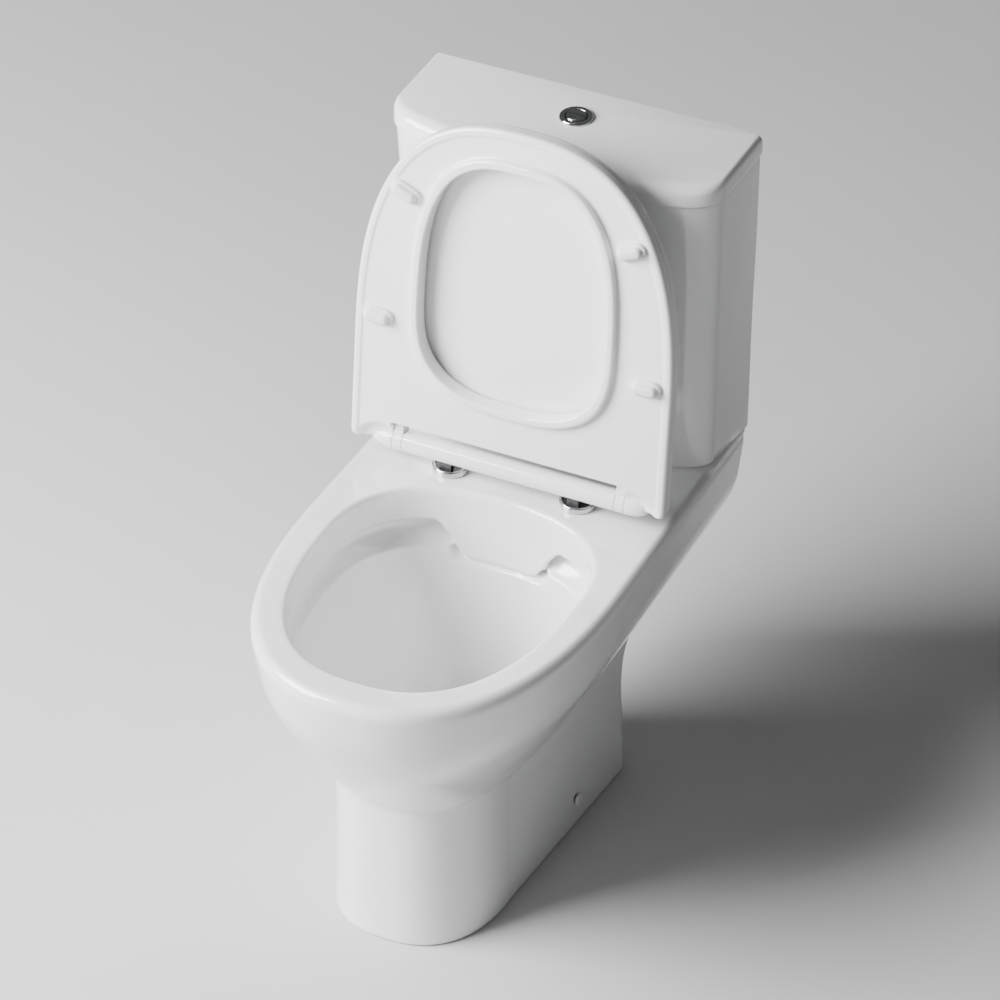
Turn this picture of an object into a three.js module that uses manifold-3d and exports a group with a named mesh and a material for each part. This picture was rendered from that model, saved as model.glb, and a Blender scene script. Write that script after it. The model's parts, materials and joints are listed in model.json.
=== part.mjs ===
// Close coupled toilet: a floor standing pan, a cistern with a dual flush valve and a fill valve,
// and a soft close seat and cover, shown with both raised.
// Millimetres. +Z is up, +Y points at the wall and X runs across. The origin is on the floor, midway
// between the front of the pan and the back of the cistern.

import * as THREE from 'three';
import { mergeVertices } from 'three/addons/utils/BufferGeometryUtils.js';
import Module from 'manifold-3d';

const wasm = await Module();
wasm.setup();

// ---------------------------------------------------------------- driving dimensions

const GAP = 0.3; // left between pieces that touch
const SIDES = [['left', -1], ['right', 1]];
const QUARTER_TURN = Math.PI / 2;

const BACK_Y = 321; // back of the cistern, 3 mm off the wall
const RIM_Z = 400; // top of the pan's rim and shelf
const PLINTH_Z = 403; // raised pad that the cistern stands on

const HULL = { halfWidth: 192.5, rearHalfWidth: 185, frontY: -321, centreY: -21, rearY: 320, exponent: 2.35 };
// The hull's outline at each height: how far its sides and its front have drawn in.
const HULL_LEVELS = [
  { z: 192, side: 76, front: 96 },
  { z: 232, side: 52, front: 68 },
  { z: 278, side: 28, front: 38 },
  { z: 311, side: 13, front: 20 },
  { z: 333, side: 7, front: 11 },
  { z: 362, side: 3, front: 4 },
  { z: 388, side: 0, front: 0 },
  { z: 397, side: 3, front: 3 },
  { z: 400, side: 9, front: 9 },
];

const FOOT = { frontY: -223, centreY: -97, frontHalfWidth: 98, flare: 0.056, exponent: 2.42, corner: 12 };
// The foot's outline at each height: its back edge, and how far its sides have drawn in.
const FOOT_LEVELS = [
  { z: 0, rearY: 175, waist: 0 },
  { z: 60, rearY: 175, waist: 3 },
  { z: 120, rearY: 173, waist: 4 },
  { z: 150, rearY: 175, waist: 3.5 },
  { z: 172, rearY: 183, waist: 3 },
  { z: 186, rearY: 194, waist: 2 },
  { z: 194, rearY: 206, waist: 1 },
  { z: 212, rearY: 215, waist: 1 },
];

const BOWL = { centreY: -47, exponent: 2.41 };
// The inside of the bowl: half its width, and its front and back, down to the sump.
const BOWL_LEVELS = [
  { z: 401, half: 154, front: -281, rear: 82 },
  { z: 397, half: 150.5, front: -277.5, rear: 79 },
  { z: 391, half: 149, front: -276, rear: 78 },
  { z: 335, half: 146, front: -273, rear: 75 },
  { z: 300, half: 137, front: -256, rear: 70 },
  { z: 260, half: 116, front: -222, rear: 60 },
  { z: 215, half: 88, front: -174, rear: 48 },
  { z: 170, half: 62, front: -124, rear: 36 },
  { z: 120, half: 46, front: -92, rear: 24 },
  { z: 75, half: 38, front: -74, rear: 8 },
  { z: 55, half: 24, front: -52, rear: -8 },
];
const CHINA = 13; // wall thickness of the pan
const SHELF = 14; // thickness of the shelf under the cistern
const CHANNEL = { low: 324, high: 360, depth: 15, reachY: -205 }; // flush channels along the bowl's sides
const APRON = { halfWidth: 67, thickness: 9, low: 314 }; // panel that splits the flush at the back

const OUTLET = { y: 226, z: 185, radius: 51, bore: 41 };
const TRAP_RADIUS = 37;
const TRAP_WALL = 10;
const TRAP_PATH = [[-34, 70], [12, 62], [62, 78], [98, 128], [132, 174], [176, 186], [OUTLET.y, OUTLET.z]];

const FLUSH = { y: 257 }; // centre of the flush inlet and of the coupling bolts
const INLET_RADIUS = 30;
const BOLT_X = 78;
const FILL = { x: -128, y: 246 };

// The cistern's outline: half widths at the back and at the corner, the front, and the corner's ends.
const TANK_LEVELS = [
  { z: 403.4, rearHalf: 186.5, sideHalf: 179.5, frontY: 199, cornerX: 138, cornerY: 246 },
  { z: 406.5, rearHalf: 188.5, sideHalf: 181.5, frontY: 196.5, cornerX: 140, cornerY: 244 },
  { z: 550, rearHalf: 190.3, sideHalf: 186.5, frontY: 186, cornerX: 143, cornerY: 236 },
  { z: 680, rearHalf: 193.4, sideHalf: 191.5, frontY: 175.5, cornerX: 146, cornerY: 229 },
  { z: 768.6, rearHalf: 194.4, sideHalf: 194.2, frontY: 168, cornerX: 148, cornerY: 224 },
];
const TANK_FLOOR_Z = 428;
const TANK_INSIDE_Z = 440;
const TANK_WALL = 11;
const SKIRT_WALL = 15;

const LID = { rearHalf: 197, sideHalf: 197, frontY: 164, cornerX: 150, cornerY: 226 };
const LID_Z = 769;
const LID_TOP_Z = 793;
const LID_LEVELS = [
  { z: LID_Z, side: 1, front: 1 },
  { z: 770.5, side: 0, front: 0 },
  { z: 781, side: 0, front: 1 },
  { z: 787, side: 0.4, front: 4 },
  { z: 791, side: 2.2, front: 9 },
  { z: LID_TOP_Z, side: 5.5, front: 16 },
];

const BUTTON = { y: 264, radius: 11.8, bezel: 19, sleeve: 14.5, split: 0.8 };

// The seat and its cover turn about one axis. They are drawn lying closed, with y = 0 and z = 0 on the
// axis and the front at -y, and a group raises them.
const HINGE = { y: 101.5, z: 427, radius: 12.5 };
const RAISED_ANGLE = THREE.MathUtils.degToRad(96);
const SEAT = { halfWidth: 190.5, frontY: -421, centreY: -130, exponent: 2.55, rearY: 1, low: -16, high: -3 };
const SEAT_HOLE = { halfWidth: 112, centreY: -189, frontY: -376.5, rearY: -84, exponent: 2.8 };
const LIP = { width: 10, low: -22.8 }; // raised edge round the seat's hole
const COVER = { halfWidth: 188.5, frontY: -418, centreY: -130, exponent: 2.55, rearY: 1, low: 0, high: 10 };
const NOTCH_Y = -26.5; // how far the seat and the cover are cut back for the hinge bar
const BAR_END = 129;
const COVER_KNUCKLE = { from: BAR_END + GAP, to: 140.7 };
const SEAT_KNUCKLE = { from: 141, to: 163 };
const PIN_RADIUS = 4;
const POST_X = 77.5;
const CUP = { y: 110, radius: 21, low: RIM_Z + GAP, floor: 403.5, high: 408.3 };
const SIDE_SCREW = { y: 55, z: 34 };

// ---------------------------------------------------------------- shapes

function outwardIndex(positions, index) {
  const a = new THREE.Vector3();
  const b = new THREE.Vector3();
  const c = new THREE.Vector3();
  const kept = [];
  let volume = 0;
  for (let i = 0; i < index.length; i += 3) {
    const [p, q, r] = [index[i], index[i + 1], index[i + 2]];
    if (p === q || q === r || r === p) continue;
    a.fromArray(positions, 3 * p);
    b.fromArray(positions, 3 * q);
    c.fromArray(positions, 3 * r);
    volume += a.dot(b.cross(c));
    kept.push(p, q, r);
  }
  if (volume < 0) kept.reverse();
  return new Uint32Array(kept);
}

// A closed three.js geometry as a solid that can be joined and cut.
function solid(geometry) {
  const bare = geometry.clone();
  bare.deleteAttribute('normal');
  bare.deleteAttribute('uv');
  const merged = mergeVertices(bare, 1e-4);
  const vertProperties = new Float32Array(merged.attributes.position.array);
  const triVerts = outwardIndex(vertProperties, merged.index.array);
  return new wasm.Manifold(new wasm.Mesh({ numProp: 3, vertProperties, triVerts }));
}

function joined(...shapes) {
  return shapes.reduce((whole, next) => whole.add(next));
}

function box(x0, x1, y0, y1, z0, z1) {
  const geometry = new THREE.BoxGeometry(x1 - x0, y1 - y0, z1 - z0);
  return solid(geometry.translate((x0 + x1) / 2, (y0 + y1) / 2, (z0 + z1) / 2));
}

// A turned shape about an upright axis at x, y. The profile is a list of [radius, height].
function turned(profile, x = 0, y = 0, sides = 20) {
  const points = profile.map(([radius, height]) => new THREE.Vector2(radius, height));
  const geometry = new THREE.LatheGeometry(points, sides);
  return solid(geometry.rotateX(QUARTER_TURN).translate(x, y, 0));
}

function rod(radius, z0, z1, x = 0, y = 0, sides = 20) {
  return turned([[0, z0], [radius, z0], [radius, z1], [0, z1]], x, y, sides);
}

function ring(inner, outer, z0, z1, x = 0, y = 0, sides = 20) {
  return turned([[inner, z0], [outer, z0], [outer, z1], [inner, z1], [inner, z0]], x, y, sides);
}

// A nut with flat sides round a plain bore.
function nut(bore, radius, sides, z0, z1, x, y) {
  return rod(radius, z0, z1, x, y, sides).subtract(rod(bore, z0 - 1, z1 + 1, x, y));
}

// A turned shape about an axis along X at y, z. The profile is a list of [radius, x].
function turnedAcross(profile, y, z, sides = 20) {
  const points = profile.map(([radius, x]) => new THREE.Vector2(radius, x));
  const geometry = new THREE.LatheGeometry(points, sides);
  return solid(geometry.rotateZ(-QUARTER_TURN).translate(0, y, z));
}

function rodAcross(radius, x0, x1, y, z, sides = 20) {
  const [low, high] = [Math.min(x0, x1), Math.max(x0, x1)];
  return turnedAcross([[0, low], [radius, low], [radius, high], [0, high]], y, z, sides);
}

function rodBack(radius, y0, y1, x, z, sides = 20) {
  const geometry = new THREE.CylinderGeometry(radius, radius, y1 - y0, sides);
  return solid(geometry.translate(x, (y0 + y1) / 2, z));
}

function extruded(shape, z0, z1, bevel = 0, curveSegments = 8) {
  const geometry = new THREE.ExtrudeGeometry(shape, {
    depth: z1 - z0 - 2 * bevel,
    bevelEnabled: bevel > 0,
    bevelThickness: bevel,
    bevelSize: bevel,
    bevelOffset: -bevel,
    bevelSegments: 1,
    curveSegments,
  });
  return solid(geometry.translate(0, 0, z0 + bevel));
}

function tubeAlong(points, radius, steps, sides) {
  const curve = new THREE.CatmullRomCurve3(points, false, 'centripetal');
  const section = new THREE.Shape();
  section.absarc(0, 0, radius, 0, 2 * Math.PI);
  const options = { extrudePath: curve, steps, curveSegments: sides / 2 };
  return solid(new THREE.ExtrudeGeometry(section, options));
}

// A skin through closed outlines of equal point count, one above the other, with flat ends.
function loft(levels) {
  const count = levels[0].outline.length;
  const positions = [];
  const index = [];
  levels.forEach(({ z, outline }) => outline.forEach((p) => positions.push(p.x, p.y, z)));
  for (let level = 0; level + 1 < levels.length; level += 1) {
    for (let i = 0; i < count; i += 1) {
      const a = level * count + i;
      const b = level * count + (i + 1) % count;
      index.push(a, b, b + count, a, b + count, a + count);
    }
  }
  [levels[0], levels[levels.length - 1]].forEach(({ z, outline }, end) => {
    const centre = new THREE.Vector2();
    outline.forEach((p) => centre.addScaledVector(p, 1 / count));
    const hub = positions.length / 3;
    positions.push(centre.x, centre.y, z);
    const first = end * (levels.length - 1) * count;
    for (let i = 0; i < count; i += 1) {
      const pair = [first + i, first + (i + 1) % count];
      index.push(hub, ...(end ? pair : pair.reverse()));
    }
  });
  const geometry = new THREE.BufferGeometry();
  geometry.setAttribute('position', new THREE.Float32BufferAttribute(positions, 3));
  geometry.setIndex(index);
  return solid(geometry);
}

// Points of a superellipse arc, from +X round the front (-Y) to -X.
function frontArc(halfWidth, frontY, centreY, exponent, steps) {
  return Array.from({ length: steps + 1 }, (_, i) => {
    const angle = Math.PI * i / steps;
    const across = Math.sign(Math.cos(angle)) * Math.abs(Math.cos(angle)) ** (2 / exponent);
    const along = Math.abs(Math.sin(angle)) ** (2 / exponent);
    return new THREE.Vector2(halfWidth * across, centreY + (frontY - centreY) * along);
  });
}

function ovalOutline(halfWidth, frontY, rearY, centreY, exponent, steps) {
  const front = frontArc(halfWidth, frontY, centreY, exponent, steps);
  const rear = frontArc(halfWidth, centreY - (rearY - centreY), centreY, exponent, steps);
  const back = rear.slice(1, -1).reverse().map((p) => new THREE.Vector2(p.x, 2 * centreY - p.y));
  return [...front, ...back];
}

function mirrorX(points) {
  return points.map((p) => new THREE.Vector2(-p.x, p.y)).reverse();
}

// ---------------------------------------------------------------- the pan

const HULL_STEPS = 20;
const BOWL_STEPS = 13;

function hullOutline(side, front, rearY) {
  const { halfWidth, rearHalfWidth, frontY, centreY, exponent } = HULL;
  const arc = frontArc(halfWidth - side, frontY + front, centreY, exponent, HULL_STEPS);
  const rearHalf = rearHalfWidth - side;
  return [...arc, new THREE.Vector2(-rearHalf, rearY), new THREE.Vector2(rearHalf, rearY)];
}

function footOutline({ rearY, waist }, inset) {
  const { frontY, centreY, frontHalfWidth, flare, exponent, corner } = FOOT;
  const half = frontHalfWidth - waist - inset;
  const rearHalf = half + flare * (rearY - centreY);
  const back = rearY - inset;
  const turn = corner * 0.3;
  const arc = frontArc(half, frontY + waist / 2 + inset, centreY, exponent, HULL_STEPS);
  const left = [
    new THREE.Vector2(-rearHalf, back - corner),
    new THREE.Vector2(-rearHalf + turn, back - turn),
    new THREE.Vector2(-rearHalf + corner, back),
  ];
  return [...arc, ...left, ...mirrorX(left)];
}

function panOuter() {
  const hull = loft(HULL_LEVELS.map(({ z, side, front }) => ({
    z,
    outline: hullOutline(side, front, HULL.rearY),
  })));
  const foot = loft(FOOT_LEVELS.map((level) => ({ z: level.z, outline: footOutline(level, 0) })));
  const plinthOutline = (grow) => cisternOutline(TANK_LEVELS[1], -grow, -grow, HULL.rearY);
  const plinth = loft([
    { z: RIM_Z - 5, outline: plinthOutline(5) },
    { z: RIM_Z, outline: plinthOutline(5) },
    { z: PLINTH_Z, outline: plinthOutline(1) },
  ]);
  return joined(hull, foot, plinth.intersect(box(-186, 186, 150, HULL.rearY, 390, 410)));
}

function bowlAt(grow, levels, drop = 0) {
  return loft(levels.map(({ z, half, front, rear }) => ({
    z: z - drop,
    outline: ovalOutline(half + grow, front - grow, rear + grow, BOWL.centreY, BOWL.exponent, BOWL_STEPS),
  })));
}

// The hollow under the shelf, open at the back, and the hollow foot, open below and behind.
function panHollow() {
  const shelfZ = RIM_Z - SHELF;
  const behind = HULL_LEVELS.filter(({ z }) => z > 200 && z < shelfZ);
  const underShelf = loft([
    { z: 150, outline: hullOutline(HULL_LEVELS[0].side + CHINA, 0, BACK_Y + 20) },
    { z: 196, outline: hullOutline(HULL_LEVELS[0].side + CHINA, 0, BACK_Y + 20) },
    ...behind.map(({ z, side }) => ({ z, outline: hullOutline(side + CHINA, 0, BACK_Y + 20) })),
    { z: shelfZ, outline: hullOutline(CHINA + 4, 0, BACK_Y + 20) },
  ]).intersect(box(-200, 200, 93, BACK_Y + 30, 190, shelfZ));
  const foot = loft(FOOT_LEVELS.slice(0, -1).map((level, i) => ({
    z: level.z - (i ? 0 : 5),
    outline: footOutline({ rearY: 172, waist: level.waist }, CHINA),
  })));
  const backDoor = box(-76, 76, 140, 240, -5, 197);
  return joined(underShelf, foot, backDoor);
}

// Curved strip of space behind each side wall of the bowl, where the flush runs forward.
function flushChannels() {
  const { low, high, depth, reachY } = CHANNEL;
  const level = BOWL_LEVELS[3];
  const rise = (high - low) / 3;
  const strip = (grow) => ovalOutline(
    level.half + grow, level.front - grow, level.rear + grow, BOWL.centreY, BOWL.exponent, BOWL_STEPS);
  const whole = loft([
    { z: low, outline: strip(1) },
    { z: low + rise, outline: strip(depth) },
    { z: high - rise, outline: strip(depth) },
    { z: high, outline: strip(1) },
  ]);
  return whole.intersect(box(-200, 200, reachY, 200, low - 1, high + 1));
}

// Level outlines of the bowl's wall at the height of the channels, grown outwards.
function wallBand(grows) {
  return loft(grows.map(([z, grow]) => ({
    z,
    outline: ovalOutline(BOWL_LEVELS[3].half + grow, BOWL_LEVELS[3].front - grow, BOWL_LEVELS[3].rear + grow,
      BOWL.centreY, BOWL.exponent, BOWL_STEPS),
  })));
}

// Chamber behind the apron, where the flush splits to both sides, and the sloping slot under the apron.
function flushChamber() {
  const { halfWidth, thickness, low } = APRON;
  const back = thickness + 14;
  const room = wallBand([[CHANNEL.low - 6, back], [CHANNEL.high, back]]);
  const wide = room.intersect(box(-halfWidth - 14, halfWidth + 14, 20, 150, CHANNEL.low, CHANNEL.high));
  const duct = box(-INLET_RADIUS, INLET_RADIUS, 86, BOWL_LEVELS[3].rear + back, CHANNEL.high - 1, 372);
  const slot = wallBand([[low - 15, -5], [low - 4, 12], [low + 2, back], [low + 12, back]]);
  return joined(wide, duct, slot.intersect(box(-halfWidth + 9, halfWidth - 9, 20, 150, low - 16, low + 11)));
}

// Curtain in line with the bowl's wall, whose lower edge sweeps up to the channels at both ends.
function apron() {
  const { halfWidth, thickness, low } = APRON;
  const shape = new THREE.Shape();
  const sweep = [[-17, low], [-4, low + 5], [6, low + 17], [12, CHANNEL.high]];
  const side = sweep.map(([x, z]) => [halfWidth + x, z]);
  shape.moveTo(halfWidth + 12, CHANNEL.high + 3);
  [...side].reverse().forEach(([x, z]) => shape.lineTo(x, z));
  side.forEach(([x, z]) => shape.lineTo(-x, z));
  shape.lineTo(-halfWidth - 12, CHANNEL.high + 3);
  const geometry = new THREE.ExtrudeGeometry(shape, { depth: 130, bevelEnabled: false });
  const curtain = solid(geometry.rotateX(QUARTER_TURN).translate(0, 150, 0));
  const bowl = bowlAt(0, BOWL_LEVELS);
  return curtain.intersect(wallBand([[low - 5, thickness], [CHANNEL.high + 4, thickness]])).subtract(bowl);
}

function pan() {
  const shelfZ = RIM_Z - SHELF;
  const trapPath = TRAP_PATH.map(([y, z]) => new THREE.Vector3(0, y, z));
  const ductHalf = INLET_RADIUS + 12;
  const ductOuter = box(-ductHalf, ductHalf, 80, FLUSH.y + ductHalf, 334, shelfZ + 2);
  const ductInner = joined(
    box(-INLET_RADIUS, INLET_RADIUS, 84, FLUSH.y, 346, 374),
    rod(INLET_RADIUS, 346, 410, 0, FLUSH.y, 24),
  );
  const collar = rodBack(OUTLET.radius, 150, OUTLET.y, 0, OUTLET.z, 24);
  const outer = panOuter();
  const lining = joined(
    bowlAt(12, BOWL_LEVELS.slice(3), 12),
    bowlAt(CHANNEL.depth + 9, BOWL_LEVELS.slice(2, 5)),
    tubeAlong(trapPath, TRAP_RADIUS + TRAP_WALL, 12, 14),
    ductOuter,
  ).intersect(outer);
  let body = joined(outer.subtract(panHollow()), lining, collar);
  body = body.subtract(bowlAt(0, BOWL_LEVELS)).subtract(flushChannels()).subtract(flushChamber());
  body = body.add(apron()).subtract(ductInner);
  body = body.subtract(tubeAlong(trapPath, TRAP_RADIUS, 12, 14));
  body = body.subtract(rodBack(OUTLET.bore, 190, OUTLET.y + 5, 0, OUTLET.z, 24));
  SIDES.forEach(([, sign]) => {
    body = body.subtract(rod(5.5, 360, 420, sign * BOLT_X, FLUSH.y, 16));
    body = body.subtract(rod(5.5, 370, 420, sign * POST_X, CUP.y, 16));
    body = body.subtract(rodAcross(4, sign * 80, sign * 130, SIDE_SCREW.y, SIDE_SCREW.z, 16));
    body = body.subtract(rodAcross(7.6, sign * 104.5, sign * 130, SIDE_SCREW.y, SIDE_SCREW.z, 16));
  });
  return body.subtract(rod(21, 370, 420, FILL.x, FILL.y, 16));
}

// ---------------------------------------------------------------- the cistern

function cisternOutline({ rearHalf, sideHalf, frontY, cornerX, cornerY }, side, front, rearY) {
  const endX = cornerX - side / 2;
  const nose = frontY + front;
  const endY = nose + (cornerX / 150) ** 2 * 16.5;
  const slope = 2 * (endY - nose) / endX;
  const half = sideHalf - side;
  const cornerFront = endY + slope * (half - endX);
  const shape = new THREE.Shape();
  shape.moveTo(-rearHalf + side, rearY);
  shape.lineTo(-half, cornerY);
  shape.quadraticCurveTo(-half, cornerFront, -endX, endY);
  shape.quadraticCurveTo(0, 2 * nose - endY, endX, endY);
  shape.quadraticCurveTo(half, cornerFront, half, cornerY);
  shape.lineTo(rearHalf - side, rearY);
  return shape.getPoints(7);
}

function tankLoft(side, front, rearY, z0, z1) {
  const between = TANK_LEVELS.filter(({ z }) => z > z0 + 1 && z < z1 - 1);
  const first = TANK_LEVELS.find(({ z }) => z >= z0 - 5) ?? TANK_LEVELS[0];
  const last = TANK_LEVELS[TANK_LEVELS.length - 1];
  return loft([{ ...first, z: z0 }, ...between, { ...last, z: z1 }].map((level) => ({
    z: level.z,
    outline: cisternOutline(level, side, front, rearY),
  })));
}

function cisternTank() {
  const outer = tankLoft(0, 0, BACK_Y, TANK_LEVELS[0].z, TANK_LEVELS[4].z);
  const inside = tankLoft(TANK_WALL, TANK_WALL, BACK_Y - TANK_WALL, TANK_INSIDE_Z, TANK_LEVELS[4].z + 5);
  const recess = loft([RIM_Z, TANK_FLOOR_Z].map((z) => ({
    z,
    outline: cisternOutline(TANK_LEVELS[1], SKIRT_WALL, SKIRT_WALL, BACK_Y - SKIRT_WALL),
  })));
  let tank = outer.subtract(inside).subtract(recess);
  tank = tank.subtract(rod(31, 420, 450, 0, FLUSH.y, 20));
  tank = tank.subtract(rod(11, 420, 450, FILL.x, FILL.y));
  SIDES.forEach(([, sign]) => {
    tank = tank.subtract(rod(4.6, 420, 450, sign * BOLT_X, FLUSH.y, 16));
    tank = tank.subtract(rodBack(4, 300, 330, sign * 110, 735, 16));
  });
  return tank;
}

function cisternLid() {
  const slab = loft(LID_LEVELS.map(({ z, side, front }) => ({
    z,
    outline: cisternOutline(LID, side, front, BACK_Y),
  })));
  const mouth = TANK_LEVELS[4];
  const lipOutline = (inset) => cisternOutline(mouth, inset, inset, BACK_Y - inset);
  const lip = loft([761, 775].map((z) => ({ z, outline: lipOutline(TANK_WALL + 1.5) })));
  const hollow = loft([755, 783].map((z) => ({ z, outline: lipOutline(TANK_WALL + 8) })));
  return slab.add(lip).subtract(hollow).subtract(rod(15, 770, 800, 0, BUTTON.y, 20));
}

// ---------------------------------------------------------------- the flush button

const BEZEL_TOP_Z = 796.6;

function buttonBezel() {
  return turned([
    [12.3, LID_TOP_Z + GAP],
    [BUTTON.bezel, LID_TOP_Z + GAP],
    [BUTTON.bezel - 0.4, BEZEL_TOP_Z - 1.4],
    [BUTTON.bezel - 2, BEZEL_TOP_Z],
    [13.4, BEZEL_TOP_Z],
    [12.3, BEZEL_TOP_Z - 1],
    [12.3, LID_TOP_Z + GAP],
  ], 0, BUTTON.y, 24);
}

// Threaded sleeve that hangs the button from the cistern lid, with a guide floor for the push rods.
function buttonHousing() {
  const sleeve = ring(12.4, BUTTON.sleeve, 762, LID_TOP_Z, 0, BUTTON.y, 20);
  const floor = rod(13, 762, 765, 0, BUTTON.y, 20);
  let housing = sleeve.add(floor);
  [-1, 1].forEach((sign) => {
    housing = housing.subtract(rod(2.9, 760, 770, 0, BUTTON.y + sign * 6, 12));
  });
  return housing;
}

function buttonNut() {
  return nut(BUTTON.sleeve + 2 * GAP, 22, 6, 774, 783 - GAP, 0, BUTTON.y);
}

// Half a domed disc. The full flush half faces the front and the half flush half the wall.
function buttonHalf(sign) {
  const dome = turned([
    [0, 789],
    [BUTTON.radius, 789],
    [BUTTON.radius, 795.4],
    [BUTTON.radius - 2, 796.8],
    [BUTTON.radius / 2, 797.8],
    [0, 798.1],
  ], 0, BUTTON.y, 24);
  const near = BUTTON.y + BUTTON.split * 0.4 * sign;
  const far = BUTTON.y + 20 * sign;
  return dome.intersect(box(-20, 20, Math.min(near, far), Math.max(near, far), 780, 800));
}

const ROD_LOW_Z = 682;

function pushRod(sign) {
  const y = BUTTON.y + sign * 6;
  return turned([[0, ROD_LOW_Z], [2.5, ROD_LOW_Z], [2.5, 789 - GAP], [0, 789 - GAP]], 0, y, 12);
}

function buttonSpring(sign) {
  const turns = 3;
  const [low, high] = [765 + GAP, 789 - 2 * GAP];
  const [wire, radius] = [0.5, 3.9];
  const steps = turns * 9;
  const path = Array.from({ length: steps + 1 }, (_, i) => {
    const angle = 2 * Math.PI * turns * i / steps;
    const z = low + wire + (high - low - 2 * wire) * i / steps;
    return new THREE.Vector3(radius * Math.cos(angle), BUTTON.y + sign * 6 + radius * Math.sin(angle), z);
  });
  return tubeAlong(path, wire, steps, 4);
}

// ---------------------------------------------------------------- the flush valve

const VALVE_SEAT_Z = 447;

function flushValveBase() {
  const tail = ring(25, 30, 407, 441, 0, FLUSH.y, 20);
  const flange = ring(25, 38, TANK_INSIDE_Z + GAP, VALVE_SEAT_Z, 0, FLUSH.y, 20);
  return tail.add(flange);
}

// Cage that stands on the base, with four windows, and a head with wells for the push rods.
function flushValveTower() {
  const y = FLUSH.y;
  let cage = turned([
    [0, 672],
    [20, 672],
    [20, 514],
    [33, 497],
    [33, VALVE_SEAT_Z + GAP],
    [36, VALVE_SEAT_Z + GAP],
    [36, 500],
    [24, 512],
    [24, 650],
    [30, 656],
    [30, 690],
    [0, 690],
  ], 0, y, 20);
  cage = cage.subtract(box(-15, 15, y - 40, y + 40, 455, 492));
  cage = cage.subtract(box(-40, 40, y - 15, y + 15, 455, 492));
  cage = cage.subtract(box(-6, 6, y - 30, y + 30, 560, 640));
  [-1, 1].forEach((sign) => {
    cage = cage.subtract(rod(3.2, 675, 695, 0, BUTTON.y + sign * 6, 12));
  });
  return cage;
}

function overflowTube() {
  return turned([
    [10, 452],
    [26, 452],
    [26, 455],
    [13, 460],
    [13, 656],
    [10, 656],
    [10, 452],
  ], 0, FLUSH.y, 16);
}

function valveSeal() {
  return ring(13, 29, VALVE_SEAT_Z + GAP, 452 - GAP, 0, FLUSH.y, 20);
}

// Open cup round the overflow tube that floats to close the valve early for a half flush.
function halfFlushFloat() {
  return ring(13.6, 19.3, 560, 610, 0, FLUSH.y, 16);
}

function flushBackNut() {
  return nut(30 + 2 * GAP, 43, 8, 416.5, TANK_FLOOR_Z - GAP, 0, FLUSH.y);
}

function couplingSeal() {
  return turned([
    [30 + GAP, PLINTH_Z + GAP],
    [40, PLINTH_Z + GAP],
    [44.5, 408],
    [44.5, 413],
    [42, 416.2],
    [30 + GAP, 416.2],
    [30 + GAP, PLINTH_Z + GAP],
  ], 0, FLUSH.y, 20);
}

// ---------------------------------------------------------------- the fill valve

const FILL_LOW_Z = 352;
const FILL_HEAD_Z = 640;
const FILL_ARM = { pivotX: FILL.x - 16, z: 668, tipX: FILL.x + 30 };

function fillValveBody() {
  const { x, y } = FILL;
  return turned([
    [6, FILL_LOW_Z],
    [10.4, FILL_LOW_Z],
    [10.4, 442.6],
    [17, 442.6],
    [17, 447],
    [9, 450],
    [9, FILL_HEAD_Z - GAP],
    [6, FILL_HEAD_Z - GAP],
    [6, FILL_LOW_Z],
  ], x, y, 16);
}

function fillWasher() {
  return ring(10.4 + GAP, 17, TANK_INSIDE_Z + GAP, 442.6 - GAP, FILL.x, FILL.y, 16);
}

function fillBackNut() {
  return nut(10.4 + 2 * GAP, 17, 6, 418, TANK_FLOOR_Z - GAP, FILL.x, FILL.y);
}

// Valve head with the diaphragm under its cap, and the two ears that carry the float arm.
function fillValveHead() {
  const { x, y } = FILL;
  const head = rod(17, FILL_HEAD_Z, 660, x, y, 16);
  const ear = (side) => box(
    FILL_ARM.pivotX - 5, FILL_ARM.pivotX + 5, y + side * 6.5 - 1.7, y + side * 6.5 + 1.7, 650, 673);
  const tail = box(x - 21, x - 10, y - 8.2, y + 8.2, 646, 660);
  const pin = rodBack(1.8, y - 7, y + 7, FILL_ARM.pivotX, FILL_ARM.z, 12);
  return joined(head, tail, ear(-1), ear(1), pin);
}

function fillArm() {
  const { y } = FILL;
  const { pivotX, z, tipX } = FILL_ARM;
  const boss = rodBack(4.2, y - 4.4, y + 4.4, pivotX, z, 16);
  const lever = box(pivotX, tipX, y - 3, y + 3, z - 2.5, z + 3.5);
  return boss.add(lever).subtract(rodBack(2.1, y - 10, y + 10, pivotX, z, 16));
}

// Cup float that slides on the valve's stem, with the link that lifts the arm.
function fillFloat() {
  const { x, y } = FILL;
  const cup = turned([
    [10, 556],
    [24, 556],
    [28, 560],
    [28, 618],
    [10, 618],
    [10, 556],
  ], x, y, 16);
  return cup.add(rod(2.6, 610, FILL_ARM.z - 4, x + 23, y, 12));
}

// ---------------------------------------------------------------- cistern fixings

function couplingBolt(sign) {
  return turned([
    [0, 362],
    [4, 362],
    [4, 447.3],
    [9, 447.3],
    [9, 451],
    [6.5, 452.5],
    [0, 452.5],
  ], sign * BOLT_X, FLUSH.y, 16);
}

function coneWasher(sign) {
  return turned([
    [4 + GAP, TANK_INSIDE_Z + GAP],
    [15, TANK_INSIDE_Z + GAP],
    [15, 443],
    [10, 447],
    [4 + GAP, 447],
    [4 + GAP, TANK_INSIDE_Z + GAP],
  ], sign * BOLT_X, FLUSH.y, 14);
}

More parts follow.
